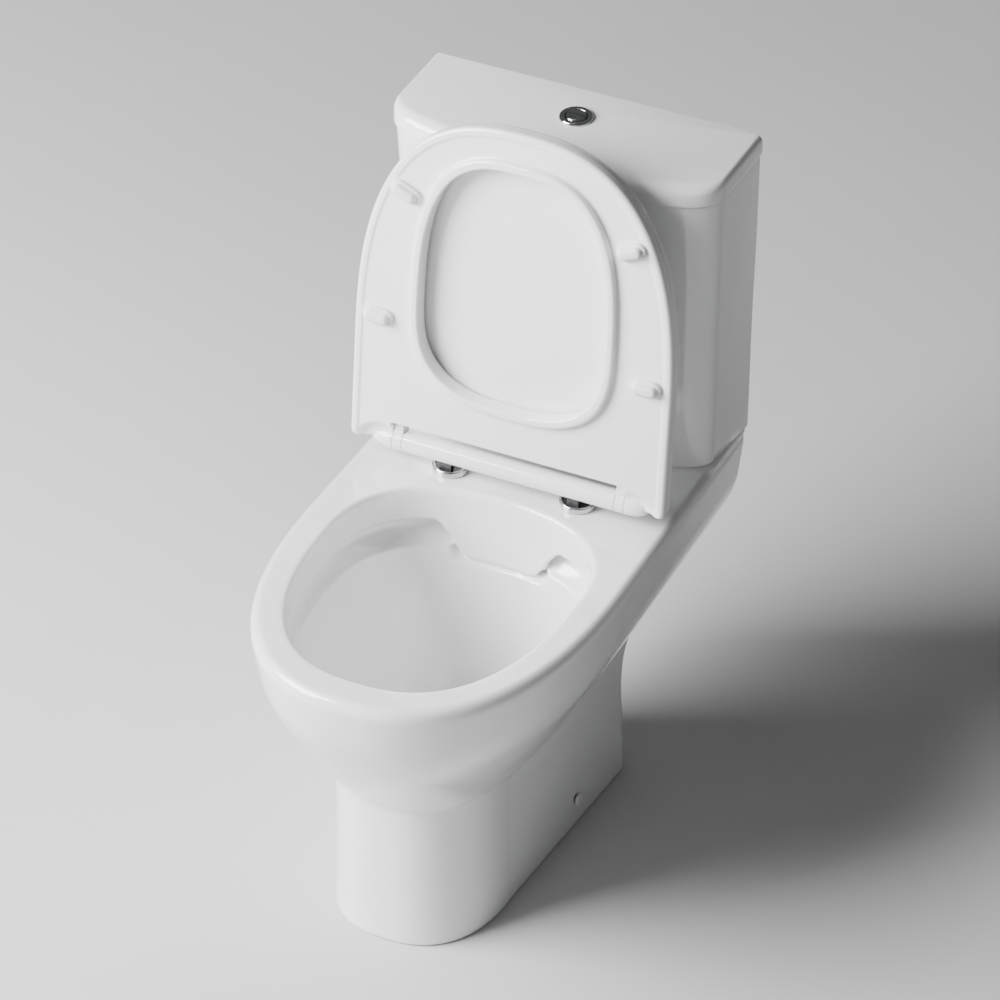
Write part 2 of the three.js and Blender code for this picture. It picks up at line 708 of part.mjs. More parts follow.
function wingNut(x, y, bore, topZ) {
  const hub = turned([
    [bore, topZ - 11],
    [bore + 4.5, topZ - 11],
    [bore + 5.5, topZ - 3],
    [bore + 10, topZ - 2],
    [bore + 10, topZ],
    [bore, topZ],
    [bore, topZ - 11],
  ], x, y, 12);
  const wing = (sign) => box(
    Math.min(x + sign * (bore + 3.5), x + sign * 17), Math.max(x + sign * (bore + 3.5), x + sign * 17),
    y - 1.6, y + 1.6, topZ - 15, topZ - 4);
  return joined(hub, wing(-1), wing(1));
}

// ---------------------------------------------------------------- the seat and its cover

function panelShape({ halfWidth, frontY, centreY, exponent, rearY }, notchX) {
  const front = frontArc(halfWidth, frontY, centreY, exponent, 26);
  const rearCorner = [
    new THREE.Vector2(-halfWidth + 1, rearY - 6),
    new THREE.Vector2(-halfWidth + 7, rearY),
    new THREE.Vector2(-notchX, rearY),
    new THREE.Vector2(-notchX, NOTCH_Y),
  ];
  return new THREE.Shape([...front, ...rearCorner, ...mirrorX(rearCorner)]);
}

function knuckle({ from, to }, sign, radius, end) {
  return turnedAcross([
    [0, sign * from],
    [radius, sign * from],
    [radius, sign * (to - end)],
    [radius - end, sign * to],
    [0, sign * to],
  ], 0, 0, 24);
}

function seatRing() {
  const shape = panelShape(SEAT, SEAT_KNUCKLE.from);
  const { halfWidth, frontY, rearY, centreY, exponent } = SEAT_HOLE;
  const oval = (grow) => ovalOutline(
    halfWidth + grow, frontY - grow, rearY + grow, centreY, exponent, 14);
  const hole = new THREE.Path(oval(0).reverse());
  shape.holes.push(hole);
  const lip = new THREE.Shape(oval(LIP.width));
  lip.holes.push(hole);
  let seat = extruded(shape, SEAT.low, SEAT.high, 2.5).add(extruded(lip, LIP.low, SEAT.low + 3, 2.5));
  SIDES.forEach(([, sign]) => {
    seat = seat.add(knuckle(SEAT_KNUCKLE, sign, HINGE.radius, 4));
    seat = seat.subtract(rodAcross(PIN_RADIUS + GAP, sign * 138, sign * 158.3, 0, 0, 16));
  });
  return seat;
}

function seatCover() {
  const shape = panelShape(COVER, SEAT_KNUCKLE.to + 0.6);
  let cover = extruded(shape, COVER.low, COVER.high, 3.5);
  SIDES.forEach(([, sign]) => {
    const [low, high] = [
      Math.min(sign * COVER_KNUCKLE.from, sign * COVER_KNUCKLE.to),
      Math.max(sign * COVER_KNUCKLE.from, sign * COVER_KNUCKLE.to),
    ];
    cover = cover.add(knuckle(COVER_KNUCKLE, sign, HINGE.radius, 0.5));
    cover = cover.add(box(low, high, NOTCH_Y - 8, 0, 1, 11));
    cover = cover.subtract(rodAcross(PIN_RADIUS + GAP, sign * 125, sign * 145, 0, 0, 16));
  });
  return cover;
}

// Oblong rubber feet under the seat: a flat pad with a rounded bump.
const SEAT_BUFFERS = [
  { x: -134, y: -318, turn: 0.38 },
  { x: 134, y: -318, turn: -0.38 },
  { x: -161, y: -158, turn: 0.05 },
  { x: 161, y: -158, turn: -0.05 },
];

function seatBuffer({ x, y, turn }) {
  const oblong = (halfLength, radius, z0, z1) => {
    const shape = new THREE.Shape();
    shape.absarc(halfLength, 0, radius, -QUARTER_TURN, QUARTER_TURN);
    shape.absarc(-halfLength, 0, radius, QUARTER_TURN, 3 * QUARTER_TURN);
    const geometry = new THREE.ExtrudeGeometry(shape, {
      depth: z1 - z0, bevelEnabled: false, curveSegments: 6,
    });
    return solid(geometry.translate(0, 0, z0).rotateZ(turn).translate(x, y, 0));
  };
  const pad = oblong(8, 10, SEAT.low - 4, SEAT.low - GAP);
  return pad.add(oblong(8, 6, RIM_Z - HINGE.z + 0.6, SEAT.low - 3));
}

function coverBuffer(sign) {
  return rod(6, SEAT.high + GAP, COVER.low - GAP, sign * 150, -250, 14);
}

// ---------------------------------------------------------------- the hinge

// Long tube between the knuckles. It holds the two dampers and slips over the posts.
function hingeBar() {
  const { y, z, radius } = HINGE;
  let bar = turnedAcross([
    [9.6, -BAR_END],
    [radius, -BAR_END],
    [radius, BAR_END],
    [9.6, BAR_END],
    [9.6, -BAR_END],
  ], y, z, 24);
  SIDES.forEach(([, sign]) => {
    bar = bar.subtract(box(sign * POST_X - 7.6, sign * POST_X + 7.6, y - 8.6, y + 1.4, z - 14, z));
  });
  return bar;
}

function damper(sign) {
  return turnedAcross([
    [0, sign * 90],
    [9, sign * 90],
    [9, sign * 124],
    [7.5, sign * 124],
    [7.5, sign * 128],
    [PIN_RADIUS + GAP, sign * 128],
    [PIN_RADIUS + GAP, sign * 110],
    [0, sign * 110],
  ], HINGE.y, HINGE.z, 14);
}

function hingePin(sign) {
  return rodAcross(PIN_RADIUS, sign * 110.5, sign * 158, HINGE.y, HINGE.z, 16);
}

function hingePost(sign) {
  const x = sign * POST_X;
  const { y, z } = HINGE;
  const foot = rod(16.5, CUP.floor + GAP, CUP.floor + 3, x, CUP.y, 24);
  const stem = box(x - 7, x + 7, y - 6.5, y + 0.8, CUP.floor + 1, z - 3);
  const head = rodAcross(9.2, x - 8, x + 8, y, z, 20);
  return joined(foot, stem, head).subtract(rod(3.5, 400, 412, x, CUP.y, 12));
}

function hingeCup(sign) {
  return turned([
    [3.5, CUP.low],
    [CUP.radius, CUP.low],
    [CUP.radius, CUP.high - 1.2],
    [CUP.radius - 1.2, CUP.high],
    [17.2, CUP.high],
    [17, CUP.floor],
    [3.5, CUP.floor],
    [3.5, CUP.low],
  ], sign * POST_X, CUP.y, 20);
}

function hingeBolt(sign) {
  const seatZ = CUP.floor + 3 + GAP;
  return turned([
    [0, 366],
    [3, 366],
    [3, seatZ],
    [5.2, seatZ],
    [5.2, seatZ + 2.4],
    [4, seatZ + 3.4],
    [0, seatZ + 3.4],
  ], sign * POST_X, CUP.y, 12);
}

// ---------------------------------------------------------------- floor fixings

function bracketShape() {
  const shape = new THREE.Shape();
  shape.moveTo(0, 0);
  shape.lineTo(34, 0);
  shape.lineTo(34, 4);
  shape.lineTo(4, 4);
  shape.lineTo(4, 52);
  shape.lineTo(0, 52);
  return shape;
}

function floorBracket(sign) {
  const wall = FOOT.frontHalfWidth + FOOT.flare * (SIDE_SCREW.y - FOOT.centreY) - 3 - CHINA;
  const geometry = new THREE.ExtrudeGeometry(bracketShape(), { depth: 40, bevelEnabled: false });
  geometry.rotateX(QUARTER_TURN).translate(0, SIDE_SCREW.y + 20, 0);
  geometry.rotateZ(sign > 0 ? Math.PI : 0);
  const shiftY = sign > 0 ? 2 * SIDE_SCREW.y : 0;
  geometry.translate(sign * (wall - 1.2), shiftY, 0);
  const plate = solid(geometry);
  const sideHole = rodAcross(3.4, sign * 70, sign * 110, SIDE_SCREW.y, SIDE_SCREW.z, 12);
  const floorHole = rod(4, -2, 10, sign * (wall - 22), SIDE_SCREW.y, 12);
  return plate.subtract(sideHole).subtract(floorHole);
}

function sideScrew(sign) {
  return turnedAcross([
    [0, sign * 74],
    [3, sign * 74],
    [3, sign * 104.8],
    [5.5, sign * 104.8],
    [5.5, sign * 106],
    [0, sign * 106],
  ], SIDE_SCREW.y, SIDE_SCREW.z, 12);
}

function sideCap(sign) {
  return turnedAcross([
    [0, sign * 106.3],
    [7.2, sign * 106.3],
    [7.2, sign * 108.5],
    [6, sign * 109.3],
    [0, sign * 109.3],
  ], SIDE_SCREW.y, SIDE_SCREW.z, 20);
}

// ---------------------------------------------------------------- the assembly

function material(colour, roughness, metalness) {
  return new THREE.MeshStandardMaterial({ color: colour, roughness, metalness });
}

const CHINA_WHITE = material(0xf4f4f4, 0.08, 0);
const SEAT_WHITE = material(0xf6f6f6, 0.18, 0);
const HINGE_WHITE = material(0xf2f2f2, 0.2, 0);
const CHROME = material(0xc8c8ca, 0.08, 1);
const BUFFER_WHITE = material(0xe9e9e9, 0.45, 0);
const BLACK_RUBBER = material(0x1c1c1c, 0.8, 0);
const VALVE_WHITE = material(0xe4e6e8, 0.4, 0);
const VALVE_GREY = material(0x8f959a, 0.5, 0);
const STEEL = material(0xa9abad, 0.35, 1);

const toilet = new THREE.Group();
const raisedPanels = new THREE.Group();
raisedPanels.position.set(0, HINGE.y, HINGE.z);
raisedPanels.rotation.x = -RAISED_ANGLE;
toilet.add(raisedPanels);

function place(name, shape, look, parent = toilet) {
  const { vertProperties, triVerts } = shape.getMesh();
  const geometry = new THREE.BufferGeometry();
  geometry.setAttribute('position', new THREE.BufferAttribute(vertProperties, 3));
  geometry.setIndex(new THREE.BufferAttribute(triVerts, 1));
  geometry.computeVertexNormals();
  const mesh = new THREE.Mesh(geometry, look);
  mesh.name = name;
  parent.add(mesh);
}

place('pan', pan(), CHINA_WHITE);
place('cistern_tank', cisternTank(), CHINA_WHITE);
place('cistern_lid', cisternLid(), CHINA_WHITE);

place('button_bezel', buttonBezel(), CHROME);
place('button_housing', buttonHousing(), VALVE_WHITE);
place('button_nut', buttonNut(), VALVE_GREY);
[['full', -1], ['half', 1]].forEach(([flush, sign]) => {
  place(`button_${flush}`, buttonHalf(sign), CHROME);
  place(`push_rod_${flush}`, pushRod(sign), VALVE_GREY);
  place(`button_spring_${flush}`, buttonSpring(sign), STEEL);
});

place('flush_valve_base', flushValveBase(), VALVE_WHITE);
place('flush_valve_tower', flushValveTower(), VALVE_WHITE);
place('overflow_tube', overflowTube(), VALVE_GREY);
place('valve_seal', valveSeal(), BLACK_RUBBER);
place('half_flush_float', halfFlushFloat(), VALVE_WHITE);
place('flush_back_nut', flushBackNut(), VALVE_GREY);
place('coupling_seal', couplingSeal(), BLACK_RUBBER);

place('fill_valve_body', fillValveBody(), VALVE_WHITE);
place('fill_valve_head', fillValveHead(), VALVE_GREY);
place('fill_valve_arm', fillArm(), VALVE_WHITE);
place('fill_float', fillFloat(), VALVE_GREY);
place('fill_washer', fillWasher(), BLACK_RUBBER);
place('fill_back_nut', fillBackNut(), VALVE_WHITE);

place('seat_ring', seatRing(), SEAT_WHITE, raisedPanels);
place('seat_cover', seatCover(), SEAT_WHITE, raisedPanels);
SEAT_BUFFERS.forEach((buffer, i) => {
  place(`seat_buffer_${i + 1}`, seatBuffer(buffer), BUFFER_WHITE, raisedPanels);
});

place('hinge_bar', hingeBar(), HINGE_WHITE);
SIDES.forEach(([side, sign]) => {
  place(`cover_buffer_${side}`, coverBuffer(sign), BUFFER_WHITE, raisedPanels);
  place(`hinge_damper_${side}`, damper(sign), VALVE_GREY);
  place(`hinge_pin_${side}`, hingePin(sign), STEEL);
  place(`hinge_post_${side}`, hingePost(sign), BLACK_RUBBER);
  place(`hinge_cup_${side}`, hingeCup(sign), CHROME);
  place(`hinge_bolt_${side}`, hingeBolt(sign), STEEL);
  place(`hinge_nut_${side}`, wingNut(sign * POST_X, CUP.y, 3 + GAP, RIM_Z - SHELF - GAP), VALVE_WHITE);
  place(`coupling_bolt_${side}`, couplingBolt(sign), STEEL);
  place(`cone_washer_${side}`, coneWasher(sign), BLACK_RUBBER);
  place(`wing_nut_${side}`, wingNut(sign * BOLT_X, FLUSH.y, 4 + GAP, RIM_Z - SHELF - GAP), VALVE_WHITE);
  place(`floor_bracket_${side}`, floorBracket(sign), VALVE_GREY);
  place(`side_screw_${side}`, sideScrew(sign), STEEL);
  place(`side_cap_${side}`, sideCap(sign), BUFFER_WHITE);
});

export default toilet;
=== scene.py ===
"""Close coupled toilet: glazed china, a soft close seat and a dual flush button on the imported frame."""

import json
import math

import bpy
import numpy as np
from mathutils import Matrix


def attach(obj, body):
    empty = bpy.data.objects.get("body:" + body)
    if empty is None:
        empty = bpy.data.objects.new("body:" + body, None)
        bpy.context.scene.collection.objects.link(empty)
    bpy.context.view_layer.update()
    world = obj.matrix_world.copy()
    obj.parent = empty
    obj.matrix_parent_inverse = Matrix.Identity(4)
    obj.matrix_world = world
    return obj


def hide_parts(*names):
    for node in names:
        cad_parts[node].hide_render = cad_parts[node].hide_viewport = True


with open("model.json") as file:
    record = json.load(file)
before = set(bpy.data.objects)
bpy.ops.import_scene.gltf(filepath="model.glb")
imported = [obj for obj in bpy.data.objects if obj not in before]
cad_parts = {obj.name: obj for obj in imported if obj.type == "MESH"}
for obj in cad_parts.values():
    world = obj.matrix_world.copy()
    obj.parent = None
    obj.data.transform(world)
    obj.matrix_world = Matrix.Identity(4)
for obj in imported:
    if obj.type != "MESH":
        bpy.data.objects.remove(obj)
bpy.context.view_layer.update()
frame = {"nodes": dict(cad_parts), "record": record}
RECORD = frame["record"]
SLOT_OF = {part["node"]: part["material_slot"] for part in RECORD["subparts"]}
MM = 0.001
COARSE = 1.0
SIGNS = (-1, 1)  # left and right

# ---------------------------------------------------------------- dimensions, in mm

BACK_Y = 320.9
RIM_Z = 400.0
HULL = dict(half=192.4, rear_half=184.9, front=-320.9, centre=-21.0, exponent=2.35)
HULL_LEVELS = [  # height, inset at the sides, inset at the front
    (192, 76, 96), (232, 52, 68), (278, 28, 38), (311, 13, 20), (333, 7, 11), (362, 3, 4), (386, 0, 0)]
RIM_ROUNDING = (14.0, 11.0)  # height and width of the rounded edge of the rim
FOOT = dict(half=98.0, front=-223.0, centre=-97.0, flare=0.056, exponent=2.42, corner=13.0)
FOOT_LEVELS = [  # height, back, waist
    (0.1, 175, 0.2), (60, 175, 3), (120, 173, 4), (150, 175, 3.5), (172, 183, 3), (186, 194, 2),
    (194, 206, 1), (212, 215, 1)]
BOWL = dict(centre=-47.0, exponent=2.41)
BOWL_LEVELS = [  # height, half width, front, back
    (335, 146, -273, 75), (300, 137, -256, 70), (260, 116, -222, 60), (215, 88, -174, 48),
    (170, 62, -124, 36), (120, 46, -92, 24), (75, 38, -74, 8), (55, 24, -52, -8)]
BOWL_RIM = [(401, 155, -282, 83), (400, 153.6, -280.6, 81.8), (398, 151.6, -278.6, 80),
            (395, 150.1, -277.1, 78.8), (391, 149, -276, 78), (365, 147.4, -274.4, 76.4)]
CHINA = 13.0
SHELF_Z = 386.0
CHANNEL = dict(low=324.0, high=360.0, depth=15.0, reach=-205.0)
APRON = dict(half=67.0, thickness=9.0, low=314.0)
TRAP_PATH = [(-34, 70), (12, 62), (62, 78), (98, 128), (132, 174), (176, 186), (226, 185)]
TRAP_RADIUS = 37.0
TRAP_WALL = 10.0
OUTLET = dict(y=226.0, z=185.0, radius=50.9, bore=41.0)
FLUSH_Y = 257.0
INLET_RADIUS = 30.0
BOLT_X = 78.0
FILL = (-128.0, 246.0)
SIDE_SCREW = (55.0, 34.0)
FLOOR_FIXING = dict(hole=4.0, from_x=80.0, seat=7.6, seat_x=104.5, past_x=130.0)
SHELF_HOLE = dict(bolt=5.5, post=5.5, fill=21.0)
DUCT = dict(half=42.0, front=80.0, low=334.0)

TANK_LEVELS = [  # height, half at the back, half at the corner, front, corner x, corner y
    (403.5, 186.5, 179.5, 199, 138, 246), (406.5, 188.5, 181.5, 196.5, 140, 244),
    (550, 190.3, 186.5, 186, 143, 236), (680, 193.4, 191.5, 175.5, 146, 229),
    (768.5, 194.4, 194.2, 168, 148, 224)]
LID = (0, 196.9, 196.9, 164.1, 150, 226)
LID_LEVELS = [  # height, inset at the sides, inset at the front
    (769.1, 1.8, 1.8), (769.6, 0.7, 0.7), (770.6, 0, 0), (781, 0, 1), (785, 0.1, 2.4), (788, 0.6, 5),
    (790.4, 1.7, 8.4), (791.8, 3.2, 11.8), (792.6, 4.8, 14.8), (792.9, 6.6, 18)]

HINGE = (101.5, 427.0)
BAR_RADIUS = 12.4
BAR_END = 128.9
COVER_KNUCKLE = (129.4, 140.6)
SEAT_KNUCKLE_X = 141.0
PIN_BORE = 4.3
PIN_END = 158.3
POST_X = 77.5
CUP_Y = 110.0
RAISED = math.radians(96)
SEAT = dict(half=190.4, front=-420.9, centre=-130.0, exponent=2.55, rear=0.9, low=-15.9, high=-3.1)
HOLE = dict(half=112.0, front=-376.5, rear=-84.0, centre=-189.0, exponent=2.8)
LIP = dict(width=10.0, low=-22.7)
COVER = dict(half=188.4, front=-417.9, centre=-130.0, exponent=2.55, rear=0.9, low=0.1, high=9.9)
NOTCH_Y = -26.5
FACE_DIP = 1.3  # how far the seat's face lies below its edge bead
KNUCKLE_END = 168.0
BUFFERS = [(-134, -318, 0.38), (134, -318, -0.38), (-161, -158, 0.05), (161, -158, -0.05)]
BUTTON_Y = 264.0

# ---------------------------------------------------------------- outlines and level tables


def front_arc(half, front, centre, exponent, steps):
    angle = np.linspace(0, math.pi, steps + 1)
    across = np.sign(np.cos(angle)) * np.abs(np.cos(angle)) ** (2 / exponent)
    along = np.abs(np.sin(angle)) ** (2 / exponent)
    return np.stack([half * across, centre + (front - centre) * along], axis=1)


def oval(half, front, rear, centre, exponent, steps=72):
    ahead = front_arc(half, front, centre, exponent, steps)
    behind = front_arc(half, 2 * centre - rear, centre, exponent, steps)[1:-1][::-1]
    behind[:, 1] = 2 * centre - behind[:, 1]
    return np.vstack([ahead, behind])


def rounded_corner(before, corner, after, radius, steps=5):
    """Points that turn from one edge to the next round a corner."""
    before, corner, after = (np.array(p, float) for p in (before, corner, after))
    start = corner + radius * (before - corner) / np.linalg.norm(before - corner)
    end = corner + radius * (after - corner) / np.linalg.norm(after - corner)
    t = np.linspace(0, 1, steps + 1)[:, None]
    return (1 - t) ** 2 * start + 2 * t * (1 - t) * corner + t ** 2 * end


def through_levels(levels, heights):
    """Smooth values between the rows of a level table, with no overshoot."""
    table = np.array(sorted(levels), float)
    z, values = table[:, 0], table[:, 1:]
    step = np.diff(z)[:, None]
    slope = np.diff(values, axis=0) / step
    tangent = np.zeros_like(values)
    tangent[0], tangent[-1] = slope[0], slope[-1]
    same = slope[:-1] * slope[1:] > 0
    mean = 2 * slope[:-1] * slope[1:] / np.where(same, slope[:-1] + slope[1:], 1)
    tangent[1:-1] = np.where(same, mean, 0)
    rows = []
    for height in heights:
        i = int(np.clip(np.searchsorted(z, height, side="right") - 1, 0, len(z) - 2))
        t = (height - z[i]) / step[i, 0]
        h00 = 2 * t ** 3 - 3 * t ** 2 + 1
        h10 = t ** 3 - 2 * t ** 2 + t
        h01 = 3 * t ** 2 - 2 * t ** 3
        h11 = t ** 3 - t ** 2
        rows.append(h00 * values[i] + h01 * values[i + 1]
                    + step[i, 0] * (h10 * tangent[i] + h11 * tangent[i + 1]))
    return np.array(rows)


def spaced(low, high, step):
    return np.linspace(low, high, max(2, int(math.ceil((high - low) / step)) + 1))


# ---------------------------------------------------------------- mesh helpers


def make(name, points, faces):
    mesh = bpy.data.meshes.new(name)
    mesh.from_pydata([tuple(MM * v for v in p) for p in points], [], [tuple(f) for f in faces])
    mesh.update()
    thing = bpy.data.objects.new(name, mesh)
    bpy.context.scene.collection.objects.link(thing)
    return thing


def volume_of(points, faces):
    total = 0.0
    p = np.asarray(points, float)
    for face in faces:
        for i in range(1, len(face) - 1):
            a, b, c = p[face[0]], p[face[i]], p[face[i + 1]]
            total += a @ np.cross(b, c)
    return total


def closed(name, points, faces):
    if volume_of(points, faces) < 0:
        faces = [tuple(reversed(f)) for f in faces]
    return make(name, points, faces)


def skin(rings):
    """Faces between closed rings of equal point count, with flat ends."""
    count = len(rings[0])
    points = [tuple(p) for loop in rings for p in loop]
    faces = []
    for k in range(len(rings) - 1):
        for i in range(count):
            a, b = k * count + i, k * count + (i + 1) % count
            faces.append((a, b, b + count, a + count))
    last = (len(rings) - 1) * count
    faces.append(tuple(reversed(range(count))))
    faces.append(tuple(range(last, last + count)))
    return points, faces


def loft(name, heights, outlines):
    rings = [[(x, y, z) for x, y in outline] for z, outline in zip(heights, outlines)]
    return closed(name, *skin(rings))


def block(x0, x1, y0, y1, z0, z1):
    outline = [(x0, y0), (x1, y0), (x1, y1), (x0, y1)]
    return loft("block", [z0, z1], [outline, outline])


def turned(name, profile, x=0.0, y=0.0, sides=64, axis="z", offset=0.0):
    """A closed profile of (radius, along) turned about an axis through x, y (or y, z for an axis along x)."""
    points, faces, rows = [], [], []
    for radius, along in profile:
        if radius < 1e-6:
            rows.append([len(points)])
            points.append((0.0, 0.0, along))
        else:
            rows.append(list(range(len(points), len(points) + sides)))
            for i in range(sides):
                a = 2 * math.pi * i / sides
                points.append((radius * math.cos(a), radius * math.sin(a), along))
    pairs = list(zip(rows, rows[1:]))
    if profile[0][0] > 1e-6:
        pairs.append((rows[-1], rows[0]))
    for lower, upper in pairs:
        for i in range(sides):
            a, b = lower[i % len(lower)], lower[(i + 1) % len(lower)]
            c, d = upper[(i + 1) % len(upper)], upper[i % len(upper)]
            face = [a, b, c, d] if len(lower) > 1 and len(upper) > 1 else (
                [a, c, d] if len(lower) == 1 else [a, b, d])
            faces.append(tuple(face))
    if axis == "z":
        placed = [(px + x, py + y, pz + offset) for px, py, pz in points]
    elif axis == "x":
        placed = [(pz + offset, px + x, py + y) for px, py, pz in points]
    else:
        placed = [(px + x, pz + offset, py + y) for px, py, pz in points]
    return closed(name, placed, faces)


def rod(radius, low, high, x, y, sides=48, axis="z"):
    return turned("rod", [(0, low), (radius, low), (radius, high), (0, high)], x, y, sides, axis)


def tube_along(path, radius, sides=40, per_span=14):
    """A closed round tube through (y, z) points in the plane x = 0."""
    p = np.array(path, float)
    p = np.vstack([2 * p[0] - p[1], p, 2 * p[-1] - p[-2]])
    line = []
    for i in range(1, len(p) - 2):
        for t in np.linspace(0, 1, per_span, endpoint=False):
            a, b, c, d = p[i - 1:i + 3]
            line.append(0.5 * (2 * b + (c - a) * t + (2 * a - 5 * b + 4 * c - d) * t ** 2
                               + (3 * b - a - 3 * c + d) * t ** 3))
    line.append(p[-2])
    line = np.array(line)
    ahead = np.gradient(line, axis=0)
    ahead /= np.linalg.norm(ahead, axis=1)[:, None]
    rings = []
    for (y, z), (dy, dz) in zip(line, ahead):
        ring = []
        for i in range(sides):
            a = 2 * math.pi * i / sides
            up = radius * math.sin(a)
            ring.append((radius * math.cos(a), y - dz * up, z + dy * up))
        rings.append(ring)
    return closed("tube", *skin(rings))


def bake(thing):
    """Applies a piece's modifiers to its mesh."""
    graph = bpy.context.evaluated_depsgraph_get()
    mesh = bpy.data.meshes.new_from_object(thing.evaluated_get(graph), depsgraph=graph)
    old = thing.data
    thing.modifiers.clear()
    thing.data = mesh
    bpy.data.meshes.remove(old)
    return thing


def combine(thing, operation, *tools):
    for tool in tools:
        modifier = thing.modifiers.new("combine", "BOOLEAN")
        modifier.operation = operation
        modifier.solver = "MANIFOLD"
        modifier.object = tool
    bake(thing)
    for tool in tools:
        mesh = tool.data
        bpy.data.objects.remove(tool)
        bpy.data.meshes.remove(mesh)
    return thing


def add(thing, *tools):
    return combine(thing, "UNION", *tools)


def cut(thing, *tools):
    return combine(thing, "DIFFERENCE", *tools)


def keep_within(thing, tool):
    return combine(thing, "INTERSECT", tool)


def slip_cast(thing, voxel, passes):
    """Remeshes a body evenly and softens every edge, as slip casting, glaze or moulding does."""
    remesh = thing.modifiers.new("remesh", "REMESH")
    remesh.mode = "VOXEL"
    remesh.voxel_size = voxel * MM * COARSE
    smooth = thing.modifiers.new("smooth", "SMOOTH")
    smooth.factor = 0.5
    smooth.iterations = passes
    return bake(thing)


def shade(thing, angle=None):
    thing.data.shade_smooth()
    if angle is not None:
        thing.data.set_sharp_from_angle(angle=math.radians(angle))
    return thing


def raise_panel(thing):
    """Turns a panel drawn lying closed, with its axis at the origin, up to its raised place."""
    mesh = thing.data
    count = len(mesh.vertices)
    flat = np.empty(count * 3)
    mesh.vertices.foreach_get("co", flat)
    co = flat.reshape(-1, 3)
    c, s = math.cos(-RAISED), math.sin(-RAISED)
    y = co[:, 1] * c - co[:, 2] * s + HINGE[0] * MM
    z = co[:, 1] * s + co[:, 2] * c + HINGE[1] * MM
    co[:, 1], co[:, 2] = y, z
    mesh.vertices.foreach_set("co", co.ravel())
    mesh.update()
    return thing

# ---------------------------------------------------------------- the pan


def hull_outline(side, front, rear):
    arc = front_arc(HULL["half"] - side, HULL["front"] + front, HULL["centre"], HULL["exponent"], 110)
    half = HULL["rear_half"] - side
    return np.vstack([arc, [(-half, rear), (half, rear)]])


def foot_outline(rear, waist, inset):
    half = FOOT["half"] - waist - inset
    rear_half = half + FOOT["flare"] * (rear - FOOT["centre"])
    back = rear - inset
    arc = front_arc(half, FOOT["front"] + waist / 2 + inset, FOOT["centre"], FOOT["exponent"], 90)
    left = rounded_corner((-half, FOOT["centre"]), (-rear_half, back), (0, back), FOOT["corner"])
    right = left[::-1] * (-1, 1)
    return np.vstack([arc, left, right])


def cistern_outline(rear_half, side_half, front, corner_x, corner_y, side, ahead, rear, corner=3.0):
    end_x = corner_x - side / 2
    nose = front + ahead
    end_y = nose + (corner_x / 150) ** 2 * 16.5
    slope = 2 * (end_y - nose) / end_x
    half = side_half - side
    corner_front = end_y + slope * (half - end_x)

    def bend(a, b, c, steps):
        t = np.linspace(0, 1, steps + 1)[1:, None]
        return (1 - t) ** 2 * np.array(a) + 2 * t * (1 - t) * np.array(b) + t ** 2 * np.array(c)

    wall = -rear_half + side
    back = rounded_corner((0, rear), (wall, rear), (-half, corner_y), corner, 4)
    left = bend((-half, corner_y), (-half, corner_front), (-end_x, end_y), 26)
    nose_line = bend((-end_x, end_y), (0, 2 * nose - end_y), (end_x, end_y), 40)[:-1]
    right = left[::-1] * (-1, 1)
    other_back = back[::-1] * (-1, 1)
    return np.vstack([back, [(-half, corner_y)], left, nose_line, right, [(half, corner_y)], other_back])


def bowl_outline(row, grow=0.0):
    half, front, rear = row
    return oval(half + grow, front - grow, rear + grow, BOWL["centre"], BOWL["exponent"])


def bowl_solid(name, grow, top, bottom, drop=0.0):
    levels = BOWL_LEVELS + BOWL_RIM
    heights = spaced(bottom, top, 3.0)
    rows = through_levels(levels, heights)
    return loft(name, heights - drop, [bowl_outline(row, grow) for row in rows])


def wall_band(name, levels, fade=None):
    """The bowl's wall, grown outwards at each height. Where it fades it lies inside the bowl."""
    heights = [z for z, _ in levels]
    outlines = []
    for row, (_, grow) in zip(through_levels(BOWL_LEVELS + BOWL_RIM, heights), levels):
        base = bowl_outline(row)
        outward = base - (0, BOWL["centre"])
        outward /= np.linalg.norm(outward, axis=1)[:, None]
        weight = 1.0 if fade is None else fade(base)[:, None]
        outlines.append(base + outward * (-4 + (grow + 4) * weight))
    return loft(name, heights, outlines)


def eased(t):
    t = np.clip(t, 0, 1)
    return t * t * (3 - 2 * t)


def flush_channels():
    """Strip of space behind each side wall, deepest by the apron and fading towards the front."""
    low, high = CHANNEL["low"], CHANNEL["high"]
    levels = []
    for t in np.linspace(0, 1, 17):
        bulge = math.sin(math.pi * t ** 1.35) ** 0.45
        levels.append((low + t * (high - low), -4 + (CHANNEL["depth"] + 7) * bulge))
    return wall_band("channels", levels, lambda p: eased((p[:, 1] - CHANNEL["reach"]) / 95))


def flush_chamber():
    """Room behind the apron where the flush splits, and the sloping slot under the apron's edge."""
    half, low = APRON["half"], APRON["low"]
    back = APRON["thickness"] + 14
    room = wall_band("room", [(CHANNEL["low"] - 2, back), (CHANNEL["high"], back)])
    keep_within(room, block(-half + 12, half - 12, 20, 150, CHANNEL["low"], CHANNEL["high"]))
    slope = [(low - 8, -4), (low - 6, 0), (low - 3, 5), (low + 1, 11), (low + 12, 19)]
    slot = wall_band("slot", slope, lambda p: eased((half + 2 - np.abs(p[:, 0])) / 26) * (p[:, 1] > 0))
    return [room, slot, block(-INLET_RADIUS, INLET_RADIUS, 86, BOWL_LEVELS[0][3] + back, 358, 372)]


